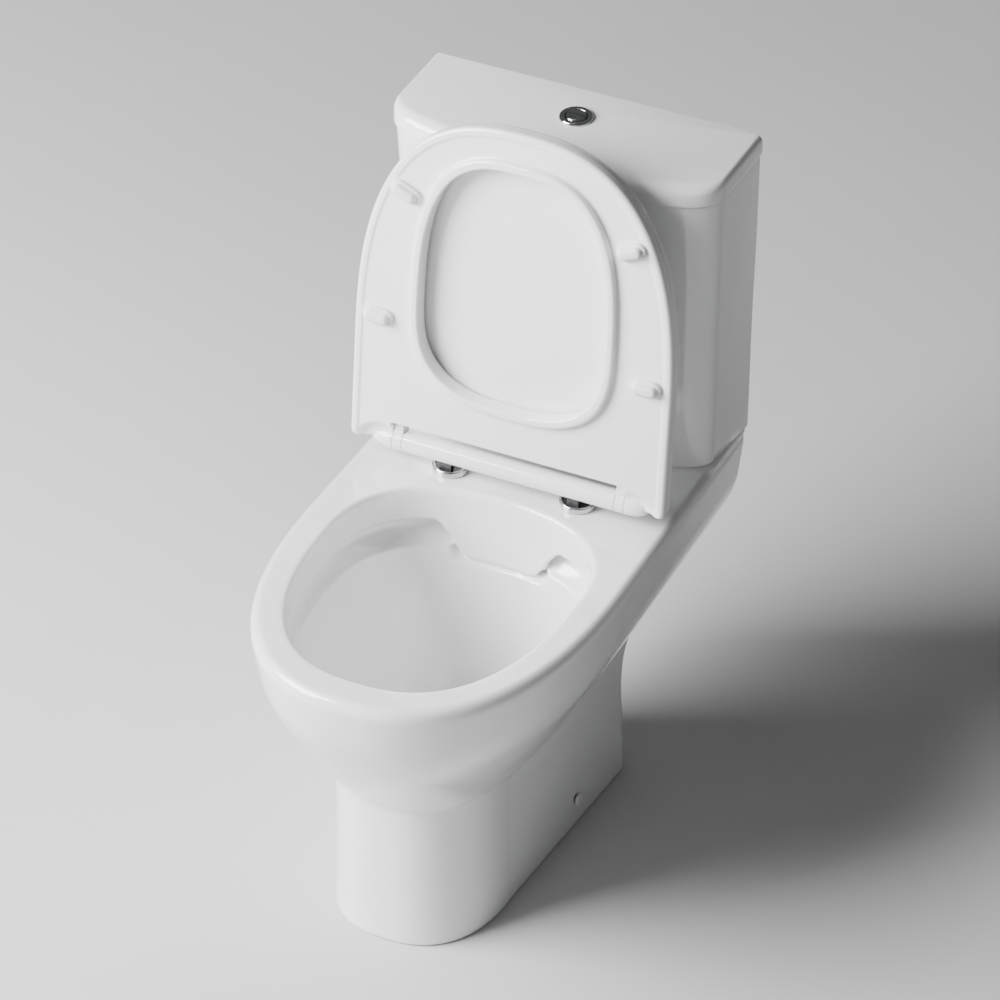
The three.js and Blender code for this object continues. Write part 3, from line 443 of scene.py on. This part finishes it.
def build_apron():
    """Curtain in line with the bowl's wall. Its lower edge sweeps up to the channels at both ends."""
    half, low, top = APRON["half"], APRON["low"], CHANNEL["high"] + 3
    across = np.linspace(-half - 14, half + 14, 61)
    edge = low + (CHANNEL["high"] - low) * eased((np.abs(across) - half + 30) / 44)
    strip = [(x, z) for x, z in zip(across, edge)] + [(half + 14, top), (-half - 14, top)]
    count = len(strip)
    points = [(x, y, z) for y in (20, 150) for x, z in strip]
    faces = [tuple(range(count)), tuple(range(2 * count - 1, count - 1, -1))]
    faces += [(i, i + count, (i + 1) % count + count, (i + 1) % count) for i in range(count)]
    curtain = closed("apron", points, faces)
    keep_within(curtain, wall_band("band", [(low - 5, APRON["thickness"]), (top + 1, APRON["thickness"])]))
    return cut(curtain, bowl_solid("bowl_face", 0, 401, 280))


def build_pan():
    rim_height, rim_width = RIM_ROUNDING
    low = spaced(192, RIM_Z - rim_height, 4.0)
    rows = list(through_levels(HULL_LEVELS, low))
    heights = list(low)
    for t in np.linspace(0, math.pi / 2, 12)[1:]:
        heights.append(RIM_Z - 0.05 - rim_height * (1 - math.sin(t)))
        inset = rim_width * (1 - math.cos(t))
        rows.append(np.array([inset, inset]))
    pan = loft("pan_china", heights, [hull_outline(s, f, BACK_Y) for s, f in rows])
    foot_heights = spaced(0.1, 212, 4.0)
    foot_rows = through_levels(FOOT_LEVELS, foot_heights)
    foot = loft("foot", foot_heights, [foot_outline(r, w, 0) for r, w in foot_rows])
    base = TANK_LEVELS[1][1:]
    plinth_levels = [(395, 5), (400.2, 4.6), (401.2, 3.4), (402.3, 2), (402.9, 0.6)]
    plinth = loft("plinth", [z for z, _ in plinth_levels],
                  [cistern_outline(*base, -grow, -grow, BACK_Y) for _, grow in plinth_levels])
    keep_within(plinth, block(-185.5, 185.5, 150, BACK_Y, 390, 410))
    add(pan, foot, plinth)

    # The bowl's lining, the trap and the duct are kept within the outer shape.
    lining = bowl_solid("lining", 12, 335, 60, drop=12)
    add(lining, bowl_solid("channel_wall", CHANNEL["depth"] + 9, 395, 300),
        tube_along(TRAP_PATH, TRAP_RADIUS + TRAP_WALL),
        block(-DUCT["half"], DUCT["half"], DUCT["front"], FLUSH_Y + DUCT["half"], DUCT["low"], SHELF_Z + 2))
    outer = pan.copy()
    outer.data = pan.data.copy()
    bpy.context.scene.collection.objects.link(outer)
    keep_within(lining, outer)

    behind = [(z, side) for z, side, _ in HULL_LEVELS if 200 < z < SHELF_Z - 3]
    under = [(150, 76 + CHINA), (196, 76 + CHINA)] + [(z, s + CHINA) for z, s in behind] + [
        (SHELF_Z, CHINA + 4)]
    shelf_space = loft("shelf_space", [z for z, _ in under], [hull_outline(s, 0, 341) for _, s in under])
    keep_within(shelf_space, block(-200, 200, 93, 351, 190, SHELF_Z))
    hollow_levels = [(z if i else -5, w) for i, (z, _, w) in enumerate(FOOT_LEVELS[:-1])]
    foot_space = loft("foot_space", [z for z, _ in hollow_levels],
                      [foot_outline(172, w, CHINA) for _, w in hollow_levels])
    cut(pan, shelf_space, foot_space, block(-76, 76, 140, 240, -5, 197))
    add(pan, lining, rod(OUTLET["radius"], 150, OUTLET["y"], 0, OUTLET["z"], axis="y"))

    cut(pan, bowl_solid("bowl", 0, 401, 55), flush_channels(), *flush_chamber())
    add(pan, build_apron())
    cut(pan, block(-INLET_RADIUS, INLET_RADIUS, 84, FLUSH_Y, 346, 374),
        rod(INLET_RADIUS, 346, 410, 0, FLUSH_Y), tube_along(TRAP_PATH, TRAP_RADIUS),
        rod(OUTLET["bore"], 190, OUTLET["y"] + 5, 0, OUTLET["z"], axis="y"))
    holes = [rod(SHELF_HOLE["fill"], 370, 420, *FILL)]
    fixing = FLOOR_FIXING
    for sign in SIGNS:
        holes.append(rod(SHELF_HOLE["bolt"], 360, 420, sign * BOLT_X, FLUSH_Y, 32))
        holes.append(rod(SHELF_HOLE["post"], 370, 420, sign * POST_X, CUP_Y, 32))
        for radius, start in ((fixing["hole"], fixing["from_x"]), (fixing["seat"], fixing["seat_x"])):
            reach = sorted((sign * start, sign * fixing["past_x"]))
            holes.append(rod(radius, *reach, *SIDE_SCREW, 32, "x"))
    cut(pan, *holes)
    return slip_cast(pan, 1.8, 16)


# ---------------------------------------------------------------- the cistern


def tank_solid(name, side, ahead, rear, z0, z1, rounding=0.0):
    heights = list(spaced(z0, z1, 12.0))
    if rounding:
        turn = [rounding * (1 - math.cos(a)) for a in np.linspace(0, math.pi / 2, 6)]
        heights = [z0 + r for r in turn] + [h for h in heights if z0 + 3 < h < z1 - 3] + [
            z1 - r for r in reversed(turn)]
    outlines = []
    for z, row in zip(heights, through_levels(TANK_LEVELS, np.clip(heights, 403.5, 768.5))):
        inset = 0.0
        if rounding:
            near = max(0.0, 1 - min(z - z0, z1 - z) / rounding)
            inset = rounding * (1 - math.sqrt(max(0.0, 1 - near * near)))
        outlines.append(cistern_outline(*row, side + inset, ahead + inset, rear - inset))
    return loft(name, heights, outlines)


def build_tank():
    tank = tank_solid("tank_china", 0, 0, BACK_Y, 403.5, 768.5, rounding=2.0)
    skirt = TANK_LEVELS[1][1:]
    recess = loft("recess", [400, 428], [cistern_outline(*skirt, 15, 15, BACK_Y - 15)] * 2)
    tools = [tank_solid("inside", 11, 11, BACK_Y - 11, 440, 773), recess,
             rod(31, 420, 450, 0, FLUSH_Y), rod(11, 420, 450, *FILL)]
    for sign in SIGNS:
        tools.append(rod(4.6, 420, 450, sign * BOLT_X, FLUSH_Y, 32))
        tools.append(rod(4, 300, 330, sign * 110, 735, 32, "y"))
    return shade(cut(tank, *tools), 38)


def build_lid():
    heights = [z for z, _, _ in LID_LEVELS]
    fine = np.concatenate([np.linspace(a, b, 4)[:-1] for a, b in zip(heights, heights[1:])] + [[heights[-1]]])
    rows = through_levels(LID_LEVELS, fine)
    lid = loft("lid_china", fine, [cistern_outline(*LID[1:], s, f, BACK_Y - min(s, 2.0)) for s, f in rows])
    mouth = TANK_LEVELS[4][1:]
    lip = loft("lip", [761, 775], [cistern_outline(*mouth, 12.5, 12.5, BACK_Y - 12.5)] * 2)
    hollow = loft("hollow", [755, 783], [cistern_outline(*mouth, 19, 19, BACK_Y - 19)] * 2)
    add(lid, lip)
    cut(lid, hollow, rod(15, 770, 800, 0, BUTTON_Y))
    return shade(lid, 34)


# ---------------------------------------------------------------- the seat, its cover and the hinge


def panel_outline(sizes, notch_x):
    half, rear = sizes["half"], sizes["rear"]
    arc = front_arc(half, sizes["front"], sizes["centre"], sizes["exponent"], 140)
    corner = rounded_corner((-half, -100), (-half, rear), (0, rear), 7.0, 6)
    left = np.vstack([corner, [(-notch_x, rear), (-notch_x, NOTCH_Y)]])
    return np.vstack([arc, left, left[::-1] * (-1, 1)])


def edge_rounded(name, outline_at, low, high, below, above):
    """A slab whose lower and upper edges are rounded by the given radii."""
    heights, outlines = [], []
    for a in np.linspace(0, math.pi / 2, 8):
        heights.append(low + below * (1 - math.cos(a)))
        outlines.append(outline_at(below * (1 - math.sin(a))))
    for a in np.linspace(math.pi / 2, 0, 8):
        heights.append(high - above * (1 - math.cos(a)))
        outlines.append(outline_at(above * (1 - math.sin(a))))
    return loft(name, heights, outlines)


def panel(name, sizes, notch_x, below, above):
    def outline_at(inset):
        half, front, rear = sizes["half"] - inset, sizes["front"] + inset, sizes["rear"] - inset
        return panel_outline(dict(sizes, half=half, front=front, rear=rear), notch_x + inset)
    return edge_rounded(name, outline_at, sizes["low"], sizes["high"], below, above)


def hole_outline(grow):
    half, front, rear = HOLE["half"] + grow, HOLE["front"] - grow, HOLE["rear"] + grow
    return oval(half, front, rear, HOLE["centre"], HOLE["exponent"], 90)


def build_seat():
    seat = panel("seat_shell", SEAT, SEAT_KNUCKLE_X, 4.5, 0.8)
    # The face is a little lower than the bead round its edge, with a scoop for each rounded knuckle.
    field = panel("field", dict(SEAT, half=SEAT["half"] - 9, front=SEAT["front"] + 9, rear=SEAT["rear"] + 8,
                                low=-22.0, high=SEAT["low"] + FACE_DIP), 30.0, 0.4, 0.4)
    dish = [(0, 0), (30, 0), (24, 2.6), (19.5, 6.4), (16.5, 9.6), (12, 11), (0, 11)]
    scoops = [turned("scoop", dish, 0, 0, 64) for _ in SIGNS]
    for scoop, sign in zip(scoops, SIGNS):
        scoop.data.transform(Matrix.Translation((sign * 0.15, -0.001, (SEAT["low"] - 2.2) * MM))
                             @ Matrix.Diagonal((1.4, 1.0, 1.0, 1.0)))
    cut(seat, field, *scoops)
    lip = edge_rounded("lip", lambda inset: hole_outline(LIP["width"] - inset),
                       LIP["low"], SEAT["low"] + 6, 3.2, 0.5)
    add(seat, lip)
    cut(seat, loft("hole", [-30, 5], [hole_outline(0)] * 2),
        rod(PIN_BORE, -PIN_END, -138, 0, 0, 32, "x"), rod(PIN_BORE, 138, PIN_END, 0, 0, 32, "x"))
    return raise_panel(slip_cast(seat, 1.2, 7))


def build_seat_knuckle(name, sign):
    """Bullet-shaped boss at the end of the hinge, with a bore for the pin."""
    inner = SEAT_KNUCKLE_X
    start, length = inner + 3, KNUCKLE_END - inner - 3
    profile = [(PIN_BORE, inner), (BAR_RADIUS - 0.5, inner), (BAR_RADIUS, inner + 0.5)]
    for a in np.linspace(0, math.pi / 2, 24)[:-1]:
        profile.append((BAR_RADIUS * math.cos(a) ** 0.8, start + length * math.sin(a)))
    profile += [(0, KNUCKLE_END), (0, PIN_END), (PIN_BORE, PIN_END)]
    return shade(raise_panel(turned(name, [(r, sign * x) for r, x in profile], 0, 0, 96, "x")), 40)


def build_cover():
    cover = panel("cover_shell", COVER, 163.6, 0.8, 4.5)
    for sign in SIGNS:
        low, high = sorted((sign * COVER_KNUCKLE[0], sign * COVER_KNUCKLE[1]))
        add(cover, block(low, high, NOTCH_Y - 8, -14, 1.2, 9.8))
    return raise_panel(slip_cast(cover, 1.3, 6))


def build_cover_knuckle(name, sign):
    """Ring round the pin, with the web that joins it to the cover."""
    low, high = sorted((sign * COVER_KNUCKLE[0], sign * COVER_KNUCKLE[1]))
    profile = [(PIN_BORE, low), (BAR_RADIUS - 0.4, low), (BAR_RADIUS, low + 0.4), (BAR_RADIUS, high - 0.4),
               (BAR_RADIUS - 0.4, high), (PIN_BORE, high)]
    ring = turned(name, profile, 0, 0, 96, "x")
    web = edge_rounded("web", lambda inset: [(low + inset, -23.2 + inset), (high - inset, -23.2 + inset),
                                             (high - inset, -6), (low + inset, -6)], -6.5, 9, 0.8, 0.8)
    return shade(raise_panel(add(ring, web)), 30)


def build_buffer(name, x, y, turn):
    """Oblong pad with a softer bump, like the feet under the seat."""
    def oblong(length, radius, steps=20):
        a = np.linspace(-math.pi / 2, math.pi / 2, steps)
        right = np.stack([length + radius * np.cos(a), radius * np.sin(a)], axis=1)
        return np.vstack([right, -right])
    half = 8.0
    radii = [(SEAT["low"] + FACE_DIP + 0.05, 9.9), (-18.6, 9.9), (-19.4, 9.5), (-19.9, 8.6), (-20.1, 7.2),
             (-20.4, 6.9), (-22, 6.6), (-24, 6.1), (-25.4, 5.0), (-26.1, 3.4), (-26.3, 1.6)]
    c, s = math.cos(turn), math.sin(turn)
    outlines = [[(x + px * c - py * s, y + px * s + py * c) for px, py in oblong(half, radius)]
                for _, radius in radii]
    return shade(raise_panel(loft(name, [z for z, _ in radii], outlines)), 50)


def build_bar():
    bar = turned("bar_tube", [(9.6, -BAR_END), (BAR_RADIUS - 0.5, -BAR_END), (BAR_RADIUS, -BAR_END + 0.5),
                              (BAR_RADIUS, BAR_END - 0.5), (BAR_RADIUS - 0.5, BAR_END), (9.6, BAR_END)],
                 *HINGE, 96, "x")
    slots = [block(sign * POST_X - 7.6, sign * POST_X + 7.6, HINGE[0] - 8.6, HINGE[0] + 1.4, 413, 427)
             for sign in SIGNS]
    return shade(cut(bar, *slots), 30)


def build_cup(name, sign):
    profile = [(3.5, 400.4), (20.4, 400.4), (20.95, 401), (20.95, 406.6), (20.7, 407.4), (20.1, 408),
               (19.3, 408.25), (18.3, 408.1), (17.6, 407.5), (17.25, 406.6), (17.1, 403.6), (3.5, 403.6)]
    return shade(turned(name, profile, sign * POST_X, CUP_Y, 96), 40)


def build_cap(name, sign):
    profile = [(0, 106.4), (7.1, 106.4), (7.1, 108.2), (6.7, 108.8), (5.8, 109.1), (3, 109.25), (0, 109.28)]
    return shade(turned(name, [(r, sign * x) for r, x in profile], *SIDE_SCREW, 64, "x"), 60)


def build_bezel():
    profile = [(12.35, 793.4), (18.9, 793.4), (18.95, 793.9), (18.7, 795), (18.0, 795.9), (17.0, 796.45),
               (15.6, 796.55), (14.4, 796.4), (13.2, 796.0), (12.6, 795.4), (12.35, 794.7)]
    return shade(turned("bezel_ring", profile, 0, BUTTON_Y, 128), 50)


def build_button(name, sign):
    """Half of a domed disc with a rounded outer edge, cut off flat at the split."""
    profile = [(0, 789.1), (11.7, 789.1), (11.75, 795.3), (11.5, 796.0), (10.9, 796.6), (9.8, 797.1),
               (8, 797.5), (5, 797.85), (2, 798.03), (0, 798.05)]
    dome = turned(name, profile, 0, BUTTON_Y, 96)
    near, far = BUTTON_Y + 0.35 * sign, BUTTON_Y + 20 * sign
    keep_within(dome, block(-20, 20, min(near, far), max(near, far), 780, 800))
    return shade(dome, 35)

# ---------------------------------------------------------------- materials


class Look:
    """A Principled material with its object-space pattern nodes."""

    def __init__(self, name):
        self.material = bpy.data.materials.new(name)
        self.material.use_nodes = True
        self.nodes = self.material.node_tree.nodes
        self.links = self.material.node_tree.links
        self.shader = self.nodes["Principled BSDF"]
        self.place = self.nodes.new("ShaderNodeTexCoord").outputs["Object"]

    def set(self, **values):
        for key, value in values.items():
            self.shader.inputs[key.replace("_", " ")].default_value = value
        return self

    def noise(self, scale, detail=4.0, roughness=0.5, stretch=None):
        place = self.place
        if stretch:
            mapping = self.nodes.new("ShaderNodeMapping")
            mapping.inputs["Scale"].default_value = stretch
            self.links.new(place, mapping.inputs["Vector"])
            place = mapping.outputs["Vector"]
        node = self.nodes.new("ShaderNodeTexNoise")
        node.inputs["Scale"].default_value = scale
        node.inputs["Detail"].default_value = detail
        node.inputs["Roughness"].default_value = roughness
        self.links.new(place, node.inputs["Vector"])
        return node.outputs["Fac"]

    def cells(self, scale):
        node = self.nodes.new("ShaderNodeTexVoronoi")
        node.inputs["Scale"].default_value = scale
        self.links.new(self.place, node.inputs["Vector"])
        return node.outputs["Distance"]

    def ranged(self, source, low, high, start=0.3, end=0.7):
        node = self.nodes.new("ShaderNodeMapRange")
        for key, value in (("From Min", start), ("From Max", end), ("To Min", low), ("To Max", high)):
            node.inputs[key].default_value = value
        self.links.new(source, node.inputs["Value"])
        return node.outputs["Result"]

    def colour(self, source, first, second, start=0.35, end=0.65):
        ramp = self.nodes.new("ShaderNodeValToRGB")
        ramp.color_ramp.elements[0].position = start
        ramp.color_ramp.elements[1].position = end
        ramp.color_ramp.elements[0].color = (*first, 1)
        ramp.color_ramp.elements[1].color = (*second, 1)
        self.links.new(source, ramp.inputs["Fac"])
        self.links.new(ramp.outputs["Color"], self.shader.inputs["Base Color"])
        return self

    def roughness(self, source, low, high):
        self.links.new(self.ranged(source, low, high), self.shader.inputs["Roughness"])
        return self

    def bumps(self, *sources):
        """Bumps laid over each other, each given as (pattern, strength, distance in metres)."""
        normal = None
        for source, strength, distance in sources:
            bump = self.nodes.new("ShaderNodeBump")
            bump.inputs["Strength"].default_value = strength
            bump.inputs["Distance"].default_value = distance
            self.links.new(source, bump.inputs["Height"])
            if normal:
                self.links.new(normal, bump.inputs["Normal"])
            normal = bump.outputs["Normal"]
        self.links.new(normal, self.shader.inputs["Normal"])
        return self


def china_look():
    look = Look("glazed_china")
    look.set(IOR=1.52, Coat_Weight=0.8, Coat_Roughness=0.04, Coat_IOR=1.5)
    look.set(Subsurface_Weight=0.06, Subsurface_Scale=0.003)
    look.colour(look.noise(7, 5), (0.855, 0.858, 0.86), (0.885, 0.885, 0.884))
    look.roughness(look.noise(38, 3), 0.09, 0.15)
    return look.bumps((look.noise(24, 2), 0.09, 0.0009), (look.noise(420, 2), 0.03, 0.0002))


def seat_look(name, first, second):
    look = Look(name)
    look.set(IOR=1.5, Coat_Weight=0.6, Coat_Roughness=0.035)
    look.colour(look.noise(9, 4), first, second)
    look.roughness(look.noise(60, 4), 0.08, 0.14)
    return look.bumps((look.noise(22, 2), 0.04, 0.0006), (look.noise(900, 2), 0.02, 0.0001))


def buffer_look():
    look = Look("soft_white_feet")
    look.set(IOR=1.45)
    look.colour(look.noise(60, 4), (0.76, 0.765, 0.77), (0.84, 0.84, 0.835))
    look.roughness(look.noise(200, 4), 0.42, 0.58)
    return look.bumps((look.noise(1500, 3), 0.16, 0.0001))


def chrome_look():
    look = Look("polished_chrome")
    look.set(Metallic=1.0)
    look.colour(look.noise(90, 4), (0.5, 0.505, 0.515), (0.62, 0.625, 0.63))
    hairline = look.noise(900, 3, 0.6, stretch=(1, 9, 1))
    look.roughness(hairline, 0.045, 0.13)
    return look.bumps((hairline, 0.04, 0.00005))


def rubber_look():
    look = Look("black_rubber")
    look.colour(look.noise(140, 5), (0.012, 0.012, 0.013), (0.03, 0.03, 0.03))
    look.roughness(look.noise(320, 4), 0.62, 0.85)
    return look.bumps((look.noise(1800, 3), 0.3, 0.0002))


def dark_look():
    look = Look("dark_hinge_plastic")
    look.colour(look.noise(160, 4), (0.016, 0.016, 0.018), (0.045, 0.045, 0.048))
    look.roughness(look.noise(260, 4), 0.28, 0.48)
    return look.bumps((look.noise(1400, 3), 0.2, 0.0001))


def moulded_look(name, first, second):
    look = Look(name)
    look.colour(look.noise(45, 4), first, second)
    look.roughness(look.noise(150, 4), 0.34, 0.52)
    return look.bumps((look.cells(1300), 0.12, 0.00012), (look.noise(80, 3), 0.1, 0.0004))


def zinc_look():
    look = Look("zinc_plated_steel")
    look.set(Metallic=1.0)
    look.colour(look.cells(420), (0.4, 0.41, 0.42), (0.66, 0.66, 0.64), 0.1, 0.6)
    look.roughness(look.noise(500, 5), 0.24, 0.48)
    return look.bumps((look.noise(1200, 4), 0.18, 0.00012))


LOOKS = {
    "china": china_look(),
    "chrome": chrome_look(),
    "seat_plastic": seat_look("seat_plastic", (0.86, 0.862, 0.864), (0.89, 0.89, 0.888)),
    "hinge_plastic": seat_look("hinge_plastic", (0.84, 0.842, 0.845), (0.87, 0.87, 0.868)),
    "buffer_plastic": buffer_look(),
    "black_rubber": rubber_look(),
    "dark_plastic": dark_look(),
    "white_valve_plastic": moulded_look("white_valve_plastic", (0.68, 0.7, 0.71), (0.77, 0.78, 0.79)),
    "grey_valve_plastic": moulded_look("grey_valve_plastic", (0.19, 0.205, 0.22), (0.25, 0.265, 0.28)),
    "steel": zinc_look(),
}


def dress(thing, slot_name):
    thing.data.materials.clear()
    thing.data.materials.append(LOOKS[slot_name].material)
    return thing


BODY_OF = {node: body for body, nodes in RECORD["behaviour"]["bodies"].items() for node in nodes}


def stands_for(thing, node):
    """Puts a finished piece in the place of a CAD node."""
    thing.name = thing.data.name = "fine_" + node
    dress(thing, SLOT_OF[node])
    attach(thing, BODY_OF[node])
    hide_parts(node)


def goes_with(thing, node):
    """Adds a piece that moves with a CAD node's body and has its material."""
    dress(thing, SLOT_OF[node])
    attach(thing, BODY_OF[node])


# ---------------------------------------------------------------- the pieces

stands_for(build_pan(), "pan")
stands_for(build_tank(), "cistern_tank")
stands_for(build_lid(), "cistern_lid")
stands_for(build_seat(), "seat_ring")
stands_for(build_cover(), "seat_cover")
stands_for(build_bar(), "hinge_bar")
stands_for(build_bezel(), "button_bezel")
stands_for(build_button("full", -1), "button_full")
stands_for(build_button("half", 1), "button_half")
for number, place in enumerate(BUFFERS, 1):
    stands_for(build_buffer("buffer", *place), f"seat_buffer_{number}")
for side_name, side_sign in (("left", -1), ("right", 1)):
    stands_for(build_cup("cup", side_sign), f"hinge_cup_{side_name}")
    stands_for(build_cap("cap", side_sign), f"side_cap_{side_name}")
    goes_with(build_seat_knuckle("seat_knuckle_" + side_name, side_sign), "seat_ring")
    goes_with(build_cover_knuckle("cover_knuckle_" + side_name, side_sign), "seat_cover")

for node_name, node in frame["nodes"].items():
    dress(node, SLOT_OF[node_name])

# ---------------------------------------------------------------- floor, light and camera


def build_floor():
    steps, half = 24, 9.0
    grid = np.linspace(-half, half, steps + 1)
    points = [(x / MM, y / MM, 0.0) for y in grid for x in grid]
    row = steps + 1
    faces = [(j * row + i, j * row + i + 1, (j + 1) * row + i + 1, (j + 1) * row + i)
             for j in range(steps) for i in range(steps)]
    floor = make("studio_floor", points, faces)
    look = Look("pale_floor")
    look.set(IOR=1.4)
    look.colour(look.noise(1.3, 3), (0.6, 0.6, 0.6), (0.625, 0.625, 0.625))
    look.roughness(look.noise(20, 3), 0.62, 0.75)
    look.bumps((look.noise(260, 3), 0.05, 0.0004))
    floor.data.materials.append(look.material)


def aim(thing, place, target):
    """Points a light or camera, whose own -Z looks ahead, at a target."""
    ahead = np.array(target, float) - np.array(place, float)
    thing.location = place
    thing.rotation_euler = (math.atan2(math.hypot(ahead[0], ahead[1]), -ahead[2]), 0,
                            math.atan2(ahead[0], -ahead[1]) + math.pi)


def area_light(name, place, target, size, power):
    data = bpy.data.lights.new(name, "AREA")
    data.shape = "RECTANGLE"
    data.size, data.size_y = size
    data.energy = power
    light = bpy.data.objects.new(name, data)
    bpy.context.scene.collection.objects.link(light)
    aim(light, place, target)


def studio():
    world = bpy.data.worlds.new("studio")
    world.use_nodes = True
    background = world.node_tree.nodes["Background"]
    background.inputs["Color"].default_value = (0.93, 0.94, 0.95, 1)
    background.inputs["Strength"].default_value = 0.13
    bpy.context.scene.world = world
    area_light("key", (-2.05, -1.6, 2.0), (0, -0.05, 0.4), (2.0, 2.0), 385)
    area_light("front_fill", (-0.4, -3.4, 1.2), (0, 0, 0.5), (2.2, 1.2), 9)
    area_light("top", (-0.8, -0.2, 3.2), (0, 0, 0.5), (1.6, 1.6), 3)


def camera():
    data = bpy.data.cameras.new("camera")
    data.lens = 229.12
    data.sensor_width = 36.0
    data.clip_end = 60.0
    view = bpy.data.objects.new("camera", data)
    bpy.context.scene.collection.objects.link(view)
    view.location = (2.43930, -5.00102, 4.53761)
    view.rotation_euler = (math.radians(90 - 36.278), 0, math.radians(25.673))
    bpy.context.scene.camera = view


build_floor()
studio()
camera()
